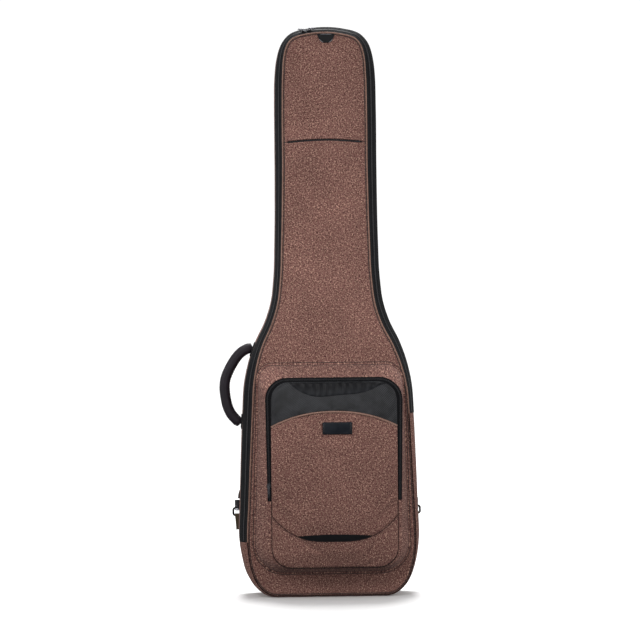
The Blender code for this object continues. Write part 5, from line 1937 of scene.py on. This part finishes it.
def soft_block(name, outline, axis, low, high, radius, material, body, replaces):
    """A foam block under cloth: the outline, stretched along the axis, with rounded edges."""
    order = {"Y": lambda a, b, h: (a, h, b), "Z": lambda a, b, h: (a, b, h)}[axis]
    count = len(outline)
    points = [order(*p, h) for h in (low, high) for p in outline]
    faces = [(i, (i + 1) % count, count + (i + 1) % count, count + i) for i in range(count)]
    faces += [tuple(range(count))[::-1], tuple(range(count, 2 * count))]
    mesh = bpy.data.meshes.new(name)
    mesh.from_pydata(points, [], faces)
    bm = bmesh.new()
    bm.from_mesh(mesh)
    bmesh.ops.recalc_face_normals(bm, faces=bm.faces)
    bmesh.ops.bevel(bm, geom=bm.edges, offset=radius, segments=4, profile=0.5, affect="EDGES")
    bm.to_mesh(mesh)
    bm.free()
    mesh.uv_layers.new(name="cloth")
    box_uv(mesh)
    block = finish_piece(mesh, name, material, body, replaces, sharp=50)
    return block


def tray_section(z):
    front = front_y(z)
    return [
        (0.0098, front + 0.0010),
        (0.0106, front + 0.0001),
        (0.0116, front + 0.0004),
        (0.0122, front + 0.0030),
        (0.0124, front * 0.5),
        (0.0124, 0.012),
        (0.0122, 0.0340),
        (0.0102, 0.0340),
        (0.0100, 0.0),
    ]


def make_inside():
    """The linings, the neck rest with its strap, and the rest for the lower end."""
    rows = strip_rows(np.arange(0, LOOP_AT[-1] - 0.004, 0.008), tray_section)
    surface(
        "wall_lining", rows, LINING, "bag", "lining", ("gusset_lining",), wrap_rows=True,
        wrap_columns=True
    )
    rows, d = inside_outline(lambda z: 0 * z, 49, 0.012, base=0.0112)
    x, z = rows[..., 0], rows[..., 2]
    quilt = np.abs(np.sin((x + z) * np.pi / 0.09)) * np.abs(np.sin((x - z) * np.pi / 0.09))
    rows[..., 1] = 0.0350 - 0.0016 * quilt**0.5 * ease(d / 0.02)
    floor = surface("floor_lining", rows, LINING, "bag", "lining", ("back_lining",), 0.0)
    cradle = ((-0.094, 0.0339), (-0.094, -0.008), (-0.036, -0.008), (-0.028, 0.022))
    cradle += tuple((-x, y) for x, y in cradle[::-1])
    soft_block(
        "cradle_cover", cradle, "Z", 0.860, 0.975, 0.0045, PLUSH, "bag", ("neck_cradle",)
    )
    low = 0.0121
    rest = ((-0.108, low), (0.108, low), (0.108, 0.046), (0.022, 0.046), (0.022, 0.026))
    rest += ((-0.022, 0.026), (-0.022, 0.046), (-0.108, 0.046))
    soft_block(
        "end_block_cover", rest, "Y", -0.040, 0.0335, 0.0040, PLUSH, "bag", ("end_block",)
    )
    t = np.linspace(-1, 1, 33)
    x = 0.066 * t
    y = -0.0092 - 0.006 * np.cos(t * np.pi / 2)
    line = np.stack([x, y - 0.0008, np.full_like(x, 0.9175)], axis=1)
    strap = ribbon(
        "neck_strap_web", line, (0, 0, 1), 0.0175, 0.0010, WEBBING, "bag", "webbing",
        ("neck_strap",)
    )
    lines = []
    for end in (-0.058, 0.058):
        z = np.linspace(0.903, 0.932, 10)
        lines.append(
            np.stack(
                [
                    np.full(10, end),
                    np.full(10, -0.0092 - 0.006 * math.cos(end / 0.066 * math.pi / 2) - 0.0019), z
                ],
                axis=1
            )
        )
    stitches("neck_strap_stitches", lines, (0, -1, 0), THREAD_BLACK, "bag", "webbing")


def make_lid_lining():
    """The quilted lining of the front cover."""
    extra = np.concatenate([np.arange(0.010, 0.026, 0.0016), np.arange(1.215, 1.236, 0.0016)])
    rows, d = inside_outline(lambda z: table(BAND_INSETS, z), 61, 0.012, extra, base=0.0034)
    x, z = rows[..., 0], rows[..., 2]
    rim = front_y(z) - BAND_DEPTH * 0.86
    flat = front_y(z) - 0.0046
    round_off = np.sqrt(1 - (1 - np.clip(d / 0.009, 0, 1)) ** 2)
    quilt = np.abs(np.sin((x + z) * np.pi / 0.09)) * np.abs(np.sin((x - z) * np.pi / 0.09))
    rows[..., 1] = rim + (flat - rim) * round_off + 0.0010 * quilt**0.5 * ease(d / 0.02)
    rows = rows[:, ::-1]
    lining = surface(
        "lid_lining", rows, LINING, "lid", "lining", ("front_lining", "front_foam"), 0.0
    )


# Camera, floor and light


LEANS = -0.52


def make_camera():
    """In front of the bag and a little to its left, turned so that the bag leans slightly."""
    camera = bpy.data.objects.new("camera", bpy.data.cameras.new("camera"))
    bpy.context.scene.collection.objects.link(camera)
    azimuth, elevation, distance = math.radians(-3.2), math.radians(1.2), 7.5
    target = Vector((-0.0148, 0.0, 0.6063))
    back = Vector(
        (
            math.sin(azimuth) * math.cos(elevation), -math.cos(azimuth) * math.cos(elevation),
            math.sin(elevation)
        )
    )
    aim(camera, target + back * distance, target)
    camera.rotation_quaternion = Quaternion(back, math.radians(LEANS)) @ camera.rotation_quaternion
    camera.data.sensor_width = 36
    camera.data.lens = 36 * (distance - 0.06) / (640 * 0.002193)
    camera.data.clip_end = 60
    bpy.context.scene.camera = camera


def make_stage():
    """Floor and lights."""
    n = Nodes("floor")
    place = n.add("TexCoord").outputs["Object"]
    shade = n.mix(n.noise(place, 3.0), (0.93, 0.93, 0.93), (0.95, 0.95, 0.95))
    n.done(shade, 0.95, Specular_IOR_Level=0.05)
    mesh = bpy.data.meshes.new("floor")
    mesh.from_pydata([(-60, -60, 0), (60, -60, 0), (60, 60, 0), (-60, 60, 0)], [], [(0, 1, 2, 3)])
    mesh.materials.append(n.material)
    floor = bpy.data.objects.new("floor", mesh)
    bpy.context.scene.collection.objects.link(floor)
    floor.visible_diffuse = False
    floor.visible_glossy = False
    make_world()
    for name, kind, place, target, power, size in (
        ("key", "SPOT", (-0.9, -3.1, 2.3), (0.0, 0.0, 0.70), 232, 0.35),
        ("left", "AREA", (-3.0, -1.6, 1.3), (0.0, 0.0, 0.55), 26, 1.4),
        ("right", "AREA", (3.0, -1.8, 1.5), (0.0, 0.0, 0.55), 32, 1.4),
        ("rim", "AREA", (0.3, 2.6, 3.2), (0.0, 0.0, 0.60), 45, 1.6),
        ("overhead", "SUN", (0.0, 1.1, 4.0), (0.0, 0.0, 0.0), 2.6, math.radians(18)),
    ):
        light = bpy.data.lights.new(name, kind)
        light.energy = power
        if kind == "SPOT":
            light.spot_size = math.radians(25)
            light.spot_blend = 1.0
            light.shadow_soft_size = size
        elif kind == "AREA":
            light.size = size
        else:
            light.angle = size
        lamp = bpy.data.objects.new(name, light)
        bpy.context.scene.collection.objects.link(lamp)
        aim(lamp, Vector(place), Vector(target))
    bpy.context.scene.view_settings.view_transform = "Standard"


def aim(thing, place, target):
    """Puts a camera or a light at place, turned to target."""
    thing.location = place
    thing.rotation_mode = "QUATERNION"
    thing.rotation_quaternion = (target - place).to_track_quat("-Z", "Y")


def make_world():
    """White round the horizon, like a studio's curved backdrop, and greyer overhead and underfoot."""
    world = bpy.data.worlds.new("studio")
    world.use_nodes = True
    tree = world.node_tree
    place = tree.nodes.new("ShaderNodeTexCoord")
    parts = tree.nodes.new("ShaderNodeSeparateXYZ")
    half = tree.nodes.new("ShaderNodeMath")
    half.operation = "MULTIPLY_ADD"
    half.inputs[1].default_value = 0.5
    half.inputs[2].default_value = 0.5
    level = tree.nodes.new("ShaderNodeValToRGB")
    stops = ((0.40, 0.16), (0.46, 1.06), (0.60, 1.06), (0.72, 0.42))
    points = level.color_ramp.elements
    points.new(0.5)
    points.new(0.6)
    for point, (at, grey) in zip(points, stops):
        point.position = at
        point.color = (grey, grey, grey, 1)
    tree.links.new(place.outputs["Generated"], parts.inputs[0])
    tree.links.new(parts.outputs[2], half.inputs[0])
    tree.links.new(half.outputs[0], level.inputs[0])
    tree.links.new(level.outputs[0], tree.nodes["Background"].inputs["Color"])
    bpy.context.scene.world = world


for make in (
    make_wall,
    make_zip_band,
    make_cover,
    make_pocket_wall,
    make_pocket_zip,
    make_pocket_front,
    make_pouch,
    make_window,
    make_label,
    make_sliders,
    make_hang_tab,
    make_head_zip,
    make_handle,
    make_back,
    make_straps,
    make_side_rings,
    make_inside,
    make_lid_lining,
    make_camera,
    make_stage,
):
    make()
